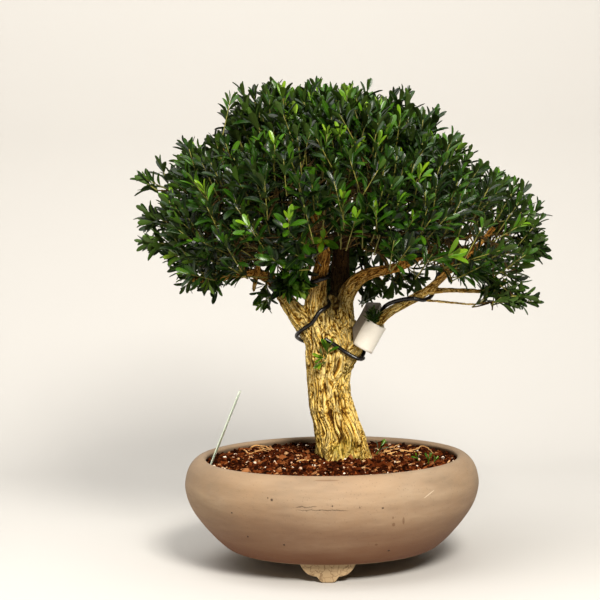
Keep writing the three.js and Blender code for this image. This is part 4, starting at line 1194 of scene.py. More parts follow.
def crown_shoots():
    """Tip, lean and layer of every shoot of the crown."""
    tips, leans, layers = [], [], []
    for layer, (count, share, lowest) in enumerate(LAYERS):
        out = unit(even_directions(count, lowest) + draw.normal(0, DIRECTION_JITTER, (count, 3)))
        closeness = (out @ spray_headings.T).max(axis=1)
        dome = 1 - PAD_DEPTH * smoothstep(*PAD_EDGES, closeness)
        upward = 0.25 + 0.75 * smoothstep(*UPWARD_SPAN, out[:, 2])
        lean = out * OUTWARD_SHARE + upward[:, None] * (0, 0, 1)
        lean = unit(unit(lean) + draw.normal(0, LEAN_JITTER, (count, 3)))
        overhang = LEAF_OVERHANG * np.clip((lean * out).sum(axis=1), 0, 1)
        depth = draw.uniform(0, DEEPEST_TIP, count)
        straggler = draw.uniform(0, 1, count) < STRAGGLER_SHARE
        inset = depth - STRAGGLER_REACH * straggler + overhang
        surface = outline_reach(out, CROWN_OUTLINE, CROWN_HALF_DEPTH)
        tips.append(CROWN_CENTRE + out * (surface * share * dome - inset)[:, None])
        leans.append(lean)
        layers.append(np.full(count, layer))
    return np.vstack(tips), np.vstack(leans), np.concatenate(layers)


tips, leans, layers = crown_shoots()
print(f"{len(tips)} shoots on the dome")

# %% Hollows and low clusters
# x, height and reach
HOLLOWS = [(-109, 400, 15), (-48, 400, 16), (-12, 433, 13), (-3, 366, 22), (34, 465, 10), (67, 419, 12),
           (137, 429, 9), (39, 344, 18), (160, 348, 15), (182, 368, 12), (-38, 388, 12), (28, 410, 12),
           (-75, 352, 14), (-80, 318, 17), (-78, 334, 13), (182, 360, 17), (141, 330, 14), (195, 378, 11)]
HOLLOW_LIFT = 8
NOTCHES = [(174, 438, 11), (-204, 402, 10)]
# left end, right end and the height up to which the front stays open
OPEN_FRONT = [(-22, 42, 330), (42, 100, 322), (100, 140, 312)]
OPEN_HEIGHT = 26
OPEN_DEPTH = 12
# middle, half spread, number of shoots and lean
CLUSTERS = [
    ((-37, -38, 315), (14, 9, 12), 19, (-0.2, -0.7, -0.45)),
    ((-68, -20, 292), (8, 6, 5), 3, (-0.3, -0.2, -0.9)),
    ((28, 40, 328), (18, 20, 12), 13, (0.2, 0.1, -0.5)),
    ((-1, 42, 300), (7, 8, 18), 8, (0.0, 0.2, 0.5)),
    ((54, 58, 297), (26, 12, 6), 8, (0.1, 0.2, -0.3)),
    ((86, 56, 306), (16, 12, 9), 6, (0.2, 0.3, -0.4)),
    ((-134, -12, 310), (28, 16, 4), 7, (-0.3, -0.3, -0.8)),
    ((-196, -10, 420), (6, 10, 5), 3, (-0.9, -0.1, 0.45)),
    ((-192, -16, 366), (5, 16, 16), 7, (-0.9, -0.1, 0.15)),
    ((222, -14, 346), (8, 16, 16), 8, (0.9, -0.2, 0.1)),
    ((230, -14, 342), (4, 6, 6), 2, (0.9, -0.2, 0.1)),
    ((214, -8, 374), (8, 12, 8), 4, (0.75, 0, 0.6)),
    ((186, -24, 296), (24, 10, 10), 10, (0.8, -0.3, 0.2)),
    ((202, -24, 291), (8, 8, 8), 5, (0.7, -0.2, -0.3)),
    ((216, -24, 290), (5, 6, 5), 2, (0.9, -0.2, -0.1)),
]
LOW_SPRAY = np.array([196.0, -24.0, 291.0])
SHOOT_LENGTH = (38, 6)
SHOOT_LIMITS = (24, 54)
CLUSTER_LENGTHS = (18, 30)
CLUSTER_JITTER = 0.42
STEM_TO_SPRAY = 0.6


def nearest(places, targets):
    """The number of the target that is nearest to each place."""
    return np.linalg.norm(places[:, None] - targets[None], axis=-1).argmin(axis=1)


kept = np.full(len(tips), True)
for x, z, reach in HOLLOWS:
    off = np.hypot(tips[:, 0] - x, tips[:, 2] - HOLLOW_LIFT - z)
    kept &= ~((off < reach) & (tips[:, 1] < 0) & (layers < 2))
for x, z, reach in NOTCHES:
    kept &= np.hypot(tips[:, 0] - x, tips[:, 2] - z) > reach
for left, right, bottom in OPEN_FRONT:
    beside_trunk = (tips[:, 0] > left) & (tips[:, 0] < right)
    kept &= ~(beside_trunk & (tips[:, 2] < bottom + OPEN_HEIGHT) & (tips[:, 1] < OPEN_DEPTH))
tips, leans, layers = tips[kept], leans[kept], layers[kept]
lengths = draw.normal(*SHOOT_LENGTH, len(tips)).clip(*SHOOT_LIMITS)
owners = nearest(tips - lengths[:, None] * STEM_TO_SPRAY * leans, spray_middles)
spray_names.append("spray_low_right")
spray_middles = np.vstack([spray_middles, LOW_SPRAY])

for middle, spread, count, lean in CLUSTERS:
    cluster_tips = np.array(middle) + draw.uniform(-1, 1, (count, 3)) * spread
    cluster_leans = unit(unit(np.array(lean)) + draw.normal(0, CLUSTER_JITTER, (count, 3)))
    tips = np.vstack([tips, cluster_tips])
    leans = np.vstack([leans, cluster_leans])
    layers = np.concatenate([layers, np.full(count, 1)])
    lengths = np.concatenate([lengths, draw.uniform(*CLUSTER_LENGTHS, count)])
    owners = np.concatenate([owners, nearest(cluster_tips, spray_middles)])
feet_of_shoots = tips - leans * lengths[:, None]
print(f"{len(tips)} shoots in {len(spray_names)} sprays")

# %% [markdown]
# A leaf is a blunt blade about twenty millimetres long and a third as wide, folded a little
# along its midrib and curled back towards its tip. It is two sheets that meet at the rim, an
# upper one and a slightly lower one, so it is closed and the two sides can have different
# colours. Leaves stand in opposite pairs, each pair a quarter turn from the one below, and
# they stand closer to the stem towards the tip of the shoot. All leaves are worked out at
# once as one array: leaves x points x 3.

# %% Leaves
LEAF_OUTLINE = [(0, 0.05), (0.1, 0.11), (0.32, 0.34), (0.58, 0.49), (0.8, 0.46), (0.94, 0.28), (1, 0.07)]
LEAF_THICKNESS = 0.45
PAIR_SPREADS = [17, 27, 35, 41, 46, 50]
PAIR_LENGTHS = [13, 18, 20, 20, 18.5, 17]
PAIR_SPACING = 5.8
LEAF_SLENDERNESS = 0.315
PAIRS_IN_LAYER = [(5, 7), (4, 6), (2, 5)]
FRESH_SHARE = 0.16
LOW_SPRAY_SCALE = 0.85


def leaf_template():
    """Share of the length, share of the width and side (1 below, 0 above) of a leaf's points,
    and its faces: a grid of three columns for each sheet."""
    along, half = np.array(LEAF_OUTLINE).T
    columns = [np.repeat(along[:, None], 3, 1), half[:, None] * np.array([-1, 0, 1])]
    sheet = np.stack(columns, -1).reshape(-1, 2)
    count = len(sheet)
    faces = grid_faces(len(along), 3)
    points = np.vstack([sheet, sheet])
    side = np.repeat([0.0, 1.0], count)
    return points[:, 0], points[:, 1], side, np.vstack([faces, faces[:, ::-1] + count])


def leaf_meshes(roots, directions, normals, sizes, curls, folds):
    """Points of many leaves: root + length along the direction + width to the side, raised by
    the fold at the rims and lowered by the curl times the square of the way along."""
    along, across, below, faces = leaf_template()
    beside = np.cross(directions, normals)
    width = sizes * LEAF_SLENDERNESS
    rise = (np.abs(across) * width[:, None] * folds[:, None] - curls[:, None] * sizes[:, None] * along**2
            - (1 - np.abs(across) * 2).clip(0, 1) * below * LEAF_THICKNESS * (along > 0) * (along < 1))
    points = (roots[:, None] + directions[:, None] * (along * sizes[:, None])[..., None]
              + beside[:, None] * (across * width[:, None])[..., None] + normals[:, None] * rise[..., None])
    return points, repeated(faces, len(roots), len(along))


def grown_leaves(feet_at, tips_at, pairs, scale, fresh):
    """Root, direction, normal, size, curl, fold, age and shoot of every leaf on the shoots."""
    stems = tips_at - feet_at
    reach = np.linalg.norm(stems, axis=1)
    axis = unit(stems)
    sideways = unit(np.cross(axis, draw.normal(0, 1, axis.shape)))
    other = np.cross(axis, sideways)
    gathered = []
    for pair, (spread, size) in enumerate(zip(PAIR_SPREADS, PAIR_LENGTHS)):
        shoots = np.flatnonzero((pairs > pair) & (pair * PAIR_SPACING * scale < reach * 0.92))
        for half_turn in (0, np.pi):
            some = len(shoots)
            angle = pair * np.pi / 2 + half_turn + draw.normal(0, 0.16, some)
            radial = np.cos(angle)[:, None] * sideways[shoots] + np.sin(angle)[:, None] * other[shoots]
            opening = np.radians(spread + draw.normal(0, 8, some))[:, None]
            direction = np.cos(opening) * axis[shoots] + np.sin(opening) * radial
            normal = np.sin(opening) * axis[shoots] - np.cos(opening) * radial
            tilt = draw.normal(0, 0.25, some)[:, None]
            normal = np.cos(tilt) * normal + np.sin(tilt) * np.cross(direction, normal)
            share = 1 - (pair + 0.1) * PAIR_SPACING * scale[shoots] / reach[shoots]
            root = feet_at[shoots] + stems[shoots] * share[:, None] + radial * 0.5
            length = size * scale[shoots] * draw.normal(1, 0.09, some).clip(0.7, 1.25)
            curl = draw.normal(0.10, 0.06, some) + 0.05 * pair
            fold = draw.uniform(0.12, 0.5, some)
            age = np.clip(fresh[shoots] - 0.22 * pair + draw.normal(0, 0.07, some), 0, 1)
            gathered.append((root, direction, normal, length, curl, fold, age, shoots))
    return [np.concatenate(column) for column in zip(*gathered)]


pair_counts = np.choose(layers, [draw.integers(*span, len(tips)) for span in PAIRS_IN_LAYER])
shoot_scale = draw.normal(1.0, 0.10, len(tips)).clip(0.75, 1.2)
shoot_scale[owners == len(spray_names) - 1] *= LOW_SPRAY_SCALE
freshness = np.where(draw.uniform(0, 1, len(tips)) < FRESH_SHARE, draw.uniform(0.5, 1.0, len(tips)),
                     draw.uniform(0.0, 0.3, len(tips)))
crown_leaves = grown_leaves(feet_of_shoots, tips, pair_counts, shoot_scale, freshness)
leaf_shoots = crown_leaves[-1]
leaf_tints = draw.uniform(0, 1, len(leaf_shoots))
print(f"{len(leaf_shoots)} leaves")

# %% Leaf finish
leaf_finish = Finish("leaf")
surface = leaf_finish.node("ShaderNodeUVMap", {"uv_map": "surface"}).outputs[0]
across_leaf = leaf_finish.node("ShaderNodeSeparateXYZ", Vector=surface).outputs["X"]
off_middle = leaf_finish.math("ABSOLUTE", leaf_finish.minus(across_leaf, 0.5))
midrib = leaf_finish.range(off_middle, 0.0, 0.05, 1.0, 0.0)
leaf_noise = leaf_finish.mottled(90.0, 500.0, 0.4)
youth = leaf_finish.value_at("age")
underside = leaf_finish.value_at("below")
grown = leaf_finish.ramp(leaf_finish.value_at("tint"), [
    (0.0, (5, 15, 1)), (0.45, (12, 34, 2)), (0.8, (26, 58, 3)), (1.0, (52, 88, 7))])
newer = leaf_finish.ramp(youth, [(0.0, (28, 64, 5)), (0.5, (60, 104, 10)), (1.0, (108, 138, 24))])
upper = leaf_finish.mix(leaf_finish.range(youth, 0.15, 0.6), grown, newer)
veined = leaf_finish.mix(leaf_finish.times(midrib, 0.3), upper, (100, 124, 40))
lower_side = leaf_finish.mix(0.5, veined, (64, 84, 26))
leaf_colour = leaf_finish.mix(underside, veined, lower_side)
uneven = leaf_finish.mix(leaf_finish.times(leaf_noise, 0.3), leaf_colour, (120, 130, 90), "MULTIPLY")
leaf_finish.set(Base_Color=uneven, Roughness=leaf_finish.range(underside, 0, 1, 0.3, 0.55),
                Specular_IOR_Level=0.25)
leaf_finish.relief(leaf_finish.minus(leaf_noise, midrib), 0.0002)


def leaf_shape(leaves, tints):
    """Mesh data of grown leaves: points, faces, named values and surface coordinates."""
    *placing, ages, shoots = leaves
    points, faces = leaf_meshes(*placing)
    along, across, below, _ = leaf_template()
    values = {"tint": np.repeat(tints, len(along)), "age": np.repeat(ages, len(along)),
              "below": np.tile(below, len(shoots))}
    uv = np.tile(np.column_stack([across + 0.5, along]), (len(shoots), 1))
    return points.reshape(-1, 3), faces, values, uv


for index, spray in enumerate(spray_names):
    name = spray.replace("spray", "leaves")
    chosen = np.flatnonzero(owners[leaf_shoots] == index)
    points, faces, values, uv = leaf_shape([column[chosen] for column in crown_leaves], leaf_tints[chosen])
    add_piece(name, mesh_of(name, points, faces, values=values, uv=uv), leaf_finish.material, [spray])

# %% [markdown]
# Twigs carry the shoots. They are laid out from the wood outwards: one twig from the nearest
# limb to the middle of each spray, a few from there to knots, and one from the nearest knot
# to each shoot, which then goes on as the green stem between the leaves.

# %% Twigs
KNOTS_PER_SPRAY = 6
TWIG_RADIUS = 2.3
TWIG_SIDES = 8
FRONT_BRANCHES = [
    [(-9, -4, 366, 3.4), (-4, -30, 388, 3.2), (3, -52, 403, 3.0), (28, -60, 411, 2.7), (53, -64, 424, 2.2),
     (70, -72, 440, 1.6)],
    [(-14, -6, 384, 3.6), (-24, -18, 386, 3.4), (-36, -30, 391, 3.3)],
]
KNOT_ROUNDS = 4
KNOT_SHARE = 0.62
BEARER_SKIP = 6


def wobble(points, size, first_seed, amount):
    """A small shift of each place in all three directions, from three sets of waves."""
    return np.column_stack([waves(points, size, first_seed + k, amount) for k in range(3)])


def twig_to(middle):
    """Stations from the nearest limb to the middle of a spray, with a bow on the way. A limb
    above the middle counts as farther off."""
    gap = np.linalg.norm(bearers[:, :3] - middle, axis=1) + np.maximum(0, bearers[:, 2] - middle[2])
    start = bearers[gap.argmin()]
    radius = min(TWIG_RADIUS, start[3] * 0.85)
    bow = (start[:3] + middle) / 2 + draw.normal(0, 4, 3) - (0, 0, 5)
    path = through([[*start[:3], radius], [*bow, radius * 0.9], [*middle, radius * 0.7]], 16)
    path[1:-1, :3] += wobble(path[1:-1, :3], 22, 40, 1.2)
    return path


def knots_among(feet):
    """The middles of a few groups of shoots: each shoot joins the nearest knot, which then
    moves to the mean of its shoots."""
    knots = feet[draw.choice(len(feet), min(KNOTS_PER_SPRAY, len(feet)), replace=False)]
    for _ in range(KNOT_ROUNDS):
        group = nearest(feet, knots)
        knots = np.array([feet[group == k].mean(axis=0) if (group == k).any() else knot
                          for k, knot in enumerate(knots)])
    return knots


def bowed(starts, ends, stations, droop):
    """Curved paths from starts to ends: a straight line plus a hump sideways and down."""
    share = np.linspace(0, 1, stations)[None, :, None]
    hump = 4 * share * (1 - share)
    side = draw.normal(0, 1, starts.shape) * 0.06 * np.linalg.norm(ends - starts, axis=1, keepdims=True)
    side[:, 2] -= droop
    return between(starts, ends, stations) + side[:, None] * hump


bearers = np.vstack([wood_paths[name][len(wood_paths[name]) // BEARER_SKIP:] for name in BEARERS])
twigs = []
knots = []
knot_radii = []
for index, middle in enumerate(spray_middles):
    path = twig_to(middle)
    twigs.append(tube(path[:, :3], path[:, 3], TWIG_SIDES))
    knot = knots_among(feet_of_shoots[owners == index])
    knots.append(middle + (knot - middle) * KNOT_SHARE)
    knot_radii.append(np.full(len(knot), path[-1, 3]))
for stops in FRONT_BRANCHES:
    path = through(stops, 24)
    path[:, :3] += wobble(path[:, :3], 20, 50, 1.0)
    twigs.append(tube(path[:, :3], path[:, 3], TWIG_SIDES))

knot_owner = np.concatenate([np.full(len(knot), index) for index, knot in enumerate(knots)])
knot_points = np.vstack(knots)
knot_paths = bowed(spray_middles[knot_owner], knot_points, 7, 1.5)
knot_taper = np.concatenate(knot_radii)[:, None] * np.linspace(0.8, 0.55, 7)
twigs.append(many_tubes(knot_paths, knot_taper, 6))

gap = np.linalg.norm(feet_of_shoots[:, None] - knot_points[None], axis=-1)
gap[owners[:, None] != knot_owner[None]] = np.inf
shoot_paths = bowed(knot_points[gap.argmin(axis=1)], feet_of_shoots, 6, 0.5)
twigs.append(many_tubes(shoot_paths, np.linspace(0.95, 0.75, 6), 5))
print(f"{len(knot_points)} knots")

# %% Twig bark and green stems
twig_bark = Finish("twig_bark")
twig_colour = twig_bark.ramp(twig_bark.mottled(150.0, 800.0, 0.5), [
    (0.0, (20, 13, 4)), (0.5, (54, 40, 14)), (1.0, (122, 96, 42))])
twig_bark.set(Base_Color=twig_colour, Roughness=0.85, Specular_IOR_Level=0.15)
twig_bark.relief(twig_bark.gritty(1500.0, 700.0, 0.3)["Height"], 0.0003)
add_piece("twigs", mesh_of("twigs", *joined(twigs)), twig_bark.material)

stems = many_tubes(between(feet_of_shoots, tips, 5), np.linspace(0.75, 0.4, 5), 4)
stem_finish = Finish("green_stem")
stem_colour = stem_finish.ramp(stem_finish.mottled(120.0, 600.0, 0.5), [
    (0.0, (70, 70, 18)), (1.0, (128, 124, 44))])
stem_finish.set(Base_Color=stem_colour, Roughness=0.6)
add_piece("green_stems", mesh_of("green_stems", *stems), stem_finish.material)

# %% [markdown]
# A small sprout grows from the front of the trunk, a dark tuft sits in the fork of the strip's
# limb, and a few seedlings stand in the soil. They are shoots like the others, only smaller,
# each with its own youth, from dark and old to pale and fresh.

# %% Sprout, tuft and seedlings
# feet, tips, pairs of leaves and size of each shoot, youth, and the node it stands for
SPROUTS = {
    "trunk_sprout": ([(-4, -16, 226), (-3, -17, 229), (-5, -16, 223)],
                     [(-10, -26, 230), (-2, -26, 241), (-10, -26, 222)], [3, 3, 2], [0.76, 0.74, 0.7], 0.95,
                     ["trunk_shoot"]),
    "branch_tuft": ([(45, -17, 263), (48, -18, 265), (46, -14, 266), (49, -16, 267), (47, -20, 263),
                     (46, -17, 266), (48, -17, 264), (44, -19, 262)],
                    [(44, -22, 271), (48, -24, 274), (45, -16, 277), (53, -19, 275), (48, -26, 270),
                     (48, -20, 279), (52, -22, 272), (42, -21, 273)],
                    [4, 5, 5, 4, 4, 5, 4, 4], [0.4, 0.42, 0.42, 0.4, 0.36, 0.42, 0.4, 0.36], 0.3, []),
    "seedlings": ([(104, -28, 109), (96, -12, 109), (47, 14, 112), (108, -22, 108)],
                  [(106, -32, 120), (93, -16, 118), (56, 10, 127), (113, -24, 116)], [3, 2, 3, 2],
                  [0.42, 0.36, 0.62, 0.34], 0.75, []),
}
STALK_VALUES = {"tint": 0.9, "age": 0.5, "below": 0.0}

for name, (starts, ends, pairs, scales, youth, stands_for) in SPROUTS.items():
    starts, ends = np.array(starts, float), np.array(ends, float)
    leaves = grown_leaves(starts, ends, np.array(pairs), np.array(scales), np.full(len(starts), youth))
    leaf_points, leaf_faces, values, uv = leaf_shape(leaves, draw.uniform(0.3, 1, len(leaves[0])))
    stalks = many_tubes(between(starts, ends, 4), np.linspace(0.7, 0.4, 4), 5)
    points, faces = joined([(leaf_points, leaf_faces), stalks])
    spare = len(stalks[0])
    values = {key: np.append(numbers, np.full(spare, STALK_VALUES[key])) for key, numbers in values.items()}
    uv = np.vstack([uv, np.full((spare, 2), 0.3)])
    add_piece(name, mesh_of(name, points, faces, values=values, uv=uv), leaf_finish.material,
              stands_for)

# %% [markdown]
# Fine roots lie on the soil at both sides of the trunk. Each is a thin tube through a few
# places on the bed, with small wiggles, and its ends go into the soil.

# %% Surface roots
ROOT_RUNS = [
    [(52, 10, -1.5), (56, 22, 0.6), (60, 34, 1.2), (63, 50, 0.6), (69, 22, 0.4), (72, 10, -1.5)],
    [(60, 44, 0), (63, 66, 0.8), (69, 90, 0.9), (77, 108, 0.7), (84, 118, -1.5)],
    [(61, 38, 0), (66, 46, 0.8), (74, 58, 1.2), (86, 58, 1), (97, 64, 1.6), (104, 82, 2), (110, 76, 1.4),
     (114, 52, 0.8), (118, 16, -1.5)],
    [(62, 30, 0), (68, 32, 1), (77, 40, 1.2), (90, 56, -1.2)],
    [(66, 24, 0), (80, 46, 1), (98, 50, 0.8), (108, 44, -1.2)],
    [(80, 82, -1), (90, 104, 1), (101, 110, 1.2), (110, 98, 0.8), (116, 84, -1.5)],
    [(64, 22, -1), (74, 14, 1), (84, 18, 0.8), (97, 28, 1), (107, 18, -1.5)],
    [(57, 62, -1), (63, 76, 0.8), (69, 84, 1), (76, 66, 1), (83, 40, 0.8), (91, 12, -1.5)],
    [(-104, 100, -1), (-98, 76, 0.8), (-93, 56, 0.6), (-85, 66, 1), (-78, 72, 0.8), (-71, 54, 0.6),
     (-64, 38, -1.2)],
    [(-96, 96, -1), (-88, 104, 1.4), (-79, 96, 2), (-71, 82, 1.4), (-66, 68, 0.8), (-60, 52, -1.2)],
    [(-85, 100, 0), (-78, 84, 1), (-70, 68, 0.8), (-62, 58, -1.2)],
    [(-12, -18, 0), (-20, -30, 0.6), (-32, -34, 0.8), (-44, -46, -1.2)],
]
FINE_ROOT_RADIUS = 0.82
ROOT_TAPER = np.linspace(1.25, 0.6, 40)
ROOT_ARCH = 1.5
ROOT_LIFT = 1.4
ROOT_WIGGLE = (14, 1.1)

fine_roots = []
for stops in ROOT_RUNS:
    run = through(stops, len(ROOT_TAPER))
    for axis in (0, 1):
        run[:, axis] += waves(run, ROOT_WIGGLE[0], 71 + axis, ROOT_WIGGLE[1])
    run[:, 2] = run[:, 2] * ROOT_ARCH + soil_height(run[:, 0], run[:, 1]) + ROOT_LIFT
    fine_roots.append(tube(run, FINE_ROOT_RADIUS * ROOT_TAPER, 7))
root_finish = Finish("root_skin")
root_colour = root_finish.ramp(root_finish.mottled(120.0, 700.0, 0.4), [
    (0.0, (166, 112, 54)), (1.0, (222, 174, 108))])
root_finish.set(Base_Color=root_colour, Roughness=0.75)
add_piece("surface_roots", mesh_of("surface_roots", *joined(fine_roots)), root_finish.material)

# %% [markdown]
# Two training wires hold limbs in place. Each starts with a run given point by point and goes
# on in turns round its limb, at the limb's radius plus its own. The wire is dark anodised metal,
# worn a little lighter where it was bent.

# %% Training wires
WIRE_RADIUS = 2.25
WIRE_AIR = 0.7
WIRE_SIDES = 14
TURN_STEP = 30.0
LIMB_STEPS = 200
LEFT_START = [(2, 38.5, 238), (-21, 29.5, 240), (-32, 13, 245), (-36, -4, 251), (-30, -17, 258),
              (-19, -19.5, 266)]
# share of the limb's length and angle round it
LEFT_TURNS = [(0.14, 10), (0.21, 80), (0.27, 180), (0.32, 270), (0.345, 350), (0.39, 450), (0.44, 560),
              (0.5, 660), (0.56, 760)]
RIGHT_START = [(-6, 249), (4, 243), (13, 236.5)]
RIGHT_UNDER = [(22, -20.5, 230.5), (30, -20.5, 226.5), (36, -16.5, 226.5)]
RIGHT_TURNS = [(0.125, 80), (0.143, 100), (0.17, 150), (0.26, 172), (0.31, 215), (0.36, 265), (0.41, 300),
               (0.47, 335), (0.56, 430), (0.66, 540), (0.74, 610)]


def turns_round(limb, turns):
    """Stations of a wire's turns: the limb's centre plus its radius and the wire's, turned
    from the front to the right by the angle of each share of the limb's length."""
    path = through(LIMBS[limb], LIMB_STEPS + 1)
    _, across, beside = frames_along(path[:, :3])
    shares, angles = np.array(turns, float).T
    angle = np.arange(angles[0], angles[-1] + 1, TURN_STEP)
    station = (np.interp(angle, angles, shares) * LIMB_STEPS).round().astype(int)
    reach = path[station, 3] + WIRE_RADIUS + WIRE_AIR
    turn = np.radians(angle)[:, None]
    outward = np.cos(turn) * across[station] + np.sin(turn) * beside[station]
    return path[station, :3] + reach[:, None] * outward


def on_trunk_front(x, height):
    """The place on the front of the trunk at an x and a height, a wire's radius off the bark."""
    path = through(TRUNK, 61)
    near = path[np.abs(path[:, 2] - height).argmin()]
    reach = near[3] * 1.04 + WIRE_RADIUS + 0.4
    return (x, near[1] - np.sqrt(max(reach**2 - (x - near[0]) ** 2, 30)), height)


wire_finish = Finish("dark_wire")
wire_wear = wire_finish.mottled(70.0, 900.0, 0.5)
wire_finish.set(Base_Color=wire_finish.mix(wire_wear, (5, 4, 4), (18, 14, 12)),
                Roughness=wire_finish.range(wire_wear, 0, 1, 0.2, 0.34), Specular_IOR_Level=0.4)
trunk_run = [on_trunk_front(*place) for place in RIGHT_START]
routes = {
    "wire_left_stem": np.vstack([LEFT_START, turns_round("left_stem", LEFT_TURNS)]),
    "wire_right_branch": np.vstack([trunk_run, RIGHT_UNDER, turns_round("low_right", RIGHT_TURNS)]),
}
for node, route in routes.items():
    smooth_route = through(route, len(route) * 8)
    thickness = np.ones(len(smooth_route))
    thickness[[0, -1]] = 0.75
    coil = tube(smooth_route, WIRE_RADIUS * thickness, WIRE_SIDES)
    add_piece(node.replace("wire", "training_wire"), mesh_of(node, *coil), wire_finish.material,
              [node])

# %% [markdown]
# A blank white strip is looped round the low right branch. Seen along its width it is round
# at the front and folded twice at the back, where it leans up and to the left. The strip is
# that outline drawn out along the branch, first outside and back again inside, so it is a
# closed sheet with a thickness of under a millimetre. It has a slight wave, as a strip that
# has been outdoors has, and its back is painted grey as painted shade. How far a point is
# behind is a number that the mesh carries.

# %% Blank strip
STRIP_WIDTH = 31.0
STRIP_THICKNESS = 0.8
STRIP_RADIUS = 11.5
STRIP_LEFT_DEPTH = 19.0
STRIP_RIGHT_DEPTH = 28.0
STRIP_RIGHT_CORNER = 9.0
STRIP_FOLD = 2.5
STRIP_SLANT = 0.73
STRIP_RIPPLE = 0.35
STRIP_MIDDLE = np.array([42.6, -15.3, 250.6])
STRIP_DIRECTION = unit(np.array([0.5, 0, 0.866]))
STRIP_BACKWARDS = np.array([-0.4, 0.89, 0.2])


def side_line(start, end, count):
    """Places from one corner up to the next, without the next one."""
    share = np.arange(count)[:, None] / count
    return np.array(start) * (1 - share) + np.array(end) * share


def fold_line(start, corner, end, count=6):
    """A fold: the curve whose slopes at its ends point to the corner."""
    share = np.arange(count)[:, None] / count
    return (np.array(start) * (1 - share) ** 2 + np.array(corner) * 2 * share * (1 - share)
            + np.array(end) * share**2)


def strip_outline(grow):
    """The loop seen along its width: a half circle, two sides, and a back between two folds."""
    left, right = -STRIP_RADIUS - grow, STRIP_RIGHT_CORNER + grow
    left_depth, right_depth = STRIP_LEFT_DEPTH + grow, STRIP_RIGHT_DEPTH + grow
    rise = STRIP_FOLD * (right_depth - left_depth) / (right - left)
    angle = np.linspace(np.pi, 2 * np.pi, 40)[:-1]
    left_side, right_side = (left, left_depth - STRIP_FOLD), (right, right_depth - STRIP_FOLD)
    left_back, right_back = (left + STRIP_FOLD, left_depth + rise), (right - STRIP_FOLD, right_depth - rise)
    return np.vstack([
        side_line(left_side, (left, 0), 12),
        -left * np.column_stack([np.cos(angle), np.sin(angle)]),
        side_line((-left, 0), right_side, 16),
        fold_line(right_side, (right, right_depth), right_back),
        side_line(right_back, left_back, 14),
        fold_line(left_back, (left, left_depth), left_side),
    ])


strip_back = unit(STRIP_BACKWARDS - STRIP_DIRECTION * (STRIP_BACKWARDS @ STRIP_DIRECTION))
strip_beside = np.cross(strip_back, STRIP_DIRECTION)
across_strip = np.linspace(-0.5, 0.5, 13)
sheet_share = np.concatenate([across_strip, across_strip[::-1]])[:, None]
outer, inner = strip_outline(STRIP_THICKNESS), strip_outline(0.0)
sheet = np.where((np.arange(len(sheet_share)) < len(across_strip))[:, None, None], outer, inner)
ripple = 1 + STRIP_RIPPLE / STRIP_RADIUS * np.sin(sheet[..., 1] * 0.21 + 1.0) * np.cos(sheet_share * 5)
up_the_limb = STRIP_WIDTH * sheet_share + STRIP_SLANT * np.maximum(sheet[..., 1], 0)
strip_points = (STRIP_MIDDLE + strip_beside * (sheet[..., 0] * ripple)[..., None]
                + strip_back * sheet[..., 1:] + STRIP_DIRECTION * up_the_limb[..., None])
rows, columns = sheet.shape[:2]
strip_faces = grid_faces(rows + 1, columns, wrap=True) % (rows * columns)

strip_finish = Finish("blank_strip")
stain = strip_finish.mottled(50.0, 400.0, 0.4)
clean = strip_finish.mix(strip_finish.times(stain, 0.25), (224, 219, 209), (196, 188, 171))
# painted shade: the back of the loop is a mottled darker grey
painted_back_shade = strip_finish.mix(stain, (84, 76, 68), (126, 116, 104))
strip_finish.set(Base_Color=strip_finish.mix(strip_finish.value_at("behind"), clean, painted_back_shade), Roughness=0.45)
strip_finish.relief(stain, 0.0002)
# how far behind the front a point lies, which carries the painted shade
behind = 0.9 * smoothstep(0.2, 1.6, sheet[..., 1]) * (sheet[..., 0] < STRIP_RIGHT_CORNER)
strip_mesh = mesh_of("blank_strip", strip_points.reshape(-1, 3), strip_faces,
                     values={"behind": behind.ravel()})
add_piece("blank_strip", strip_mesh, strip_finish.material, ["label_loop"])

# %% [markdown]
# A clear plastic stake stands at the left of the soil. It is a thin tapered blade with
# rounded edges. Clear plastic shows mostly as a pale green line at its edges.

# %% Clear stake
STAKE_FOOT = np.array([-140, -20, 92.0])
STAKE_TOP = np.array([-98, -20, 193.0])
STAKE_THICKNESS = 1.4
STAKE_TURN = np.radians(82)
STAKE_TAPER = 40.0
STAKE_HALF_WIDTHS = [1.5, 6.5, 6.5, 6.0]
STAKE_STATIONS = 24
STAKE_SIDES = 24


def squared_off(values, power):
    """Values with their sign, raised to a power below 1, which makes a circle squarer."""
    return np.sign(values) * np.abs(values) ** power


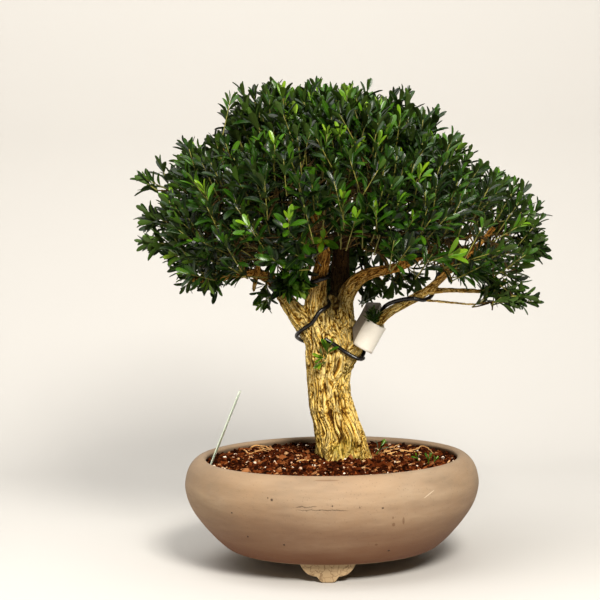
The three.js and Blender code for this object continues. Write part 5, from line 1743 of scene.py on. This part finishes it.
stake_reach = np.linalg.norm(STAKE_TOP - STAKE_FOOT)
stake_along = np.linspace(0, stake_reach, STAKE_STATIONS)
stake_half = np.interp(stake_along, [0, STAKE_TAPER, stake_reach - 1, stake_reach], STAKE_HALF_WIDTHS)
section_angle = np.arange(STAKE_SIDES) * 2 * np.pi / STAKE_SIDES
section_x = squared_off(np.cos(section_angle), 0.35)
section_y = squared_off(np.sin(section_angle), 0.6)
stake_axis = unit(STAKE_TOP - STAKE_FOOT)
stake_side = unit(np.cross(stake_axis, (0, 1, 0)))
stake_front = np.cross(stake_axis, stake_side)
blade_side = np.cos(STAKE_TURN) * stake_side + np.sin(STAKE_TURN) * stake_front
blade_front = np.cross(stake_axis, blade_side)
blade = (STAKE_FOOT + stake_axis * stake_along[:, None, None]
         + blade_side * (stake_half[:, None] * section_x)[..., None]
         + blade_front * (STAKE_THICKNESS / 2 * section_y)[:, None])
tips_of_blade = [np.broadcast_to(ring.mean(axis=0), (1, *ring.shape)) for ring in (blade[0], blade[-1])]
blade = np.concatenate([tips_of_blade[0], blade, tips_of_blade[1]])
blade_faces = grid_faces(len(blade), STAKE_SIDES, wrap=True)

clear_plastic = Finish("clear_plastic")
scuffs = clear_plastic.mottled(80.0, 900.0, 0.6)
clear_plastic.set(Base_Color=clear_plastic.mix(scuffs, (226, 244, 222), (236, 246, 230)),
                  Roughness=clear_plastic.range(scuffs, 0, 1, 0.15, 0.3), Transmission_Weight=0.4, IOR=1.45)
add_piece("clear_stake", mesh_of("clear_stake", blade.reshape(-1, 3), blade_faces), clear_plastic.material,
          ["label_stake"])

# %% [markdown]
# The screen over the drain hole and its staple are seen only from below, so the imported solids
# stay and get a finish: moulded plastic with a fine grain, and the same dark wire.

# %% Screen and staple
screen_finish = Finish("moulded_screen")
moulded = screen_finish.gritty(1200.0, 400.0, 0.3)
screen_finish.set(Base_Color=screen_finish.mix(moulded["Pit"], (28, 56, 40), (18, 38, 28)), Roughness=0.5)
screen_finish.relief(moulded["Height"], 0.0002)
for node, finish in (("drain_mesh", screen_finish), ("mesh_clip", wire_finish)):
    frame["nodes"][node].data.materials.clear()
    frame["nodes"][node].data.materials.append(finish.material)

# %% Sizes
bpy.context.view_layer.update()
total = sum(len(thing.data.polygons) for thing in bpy.data.objects if thing.type == "MESH")
print(f"{total} faces in all")
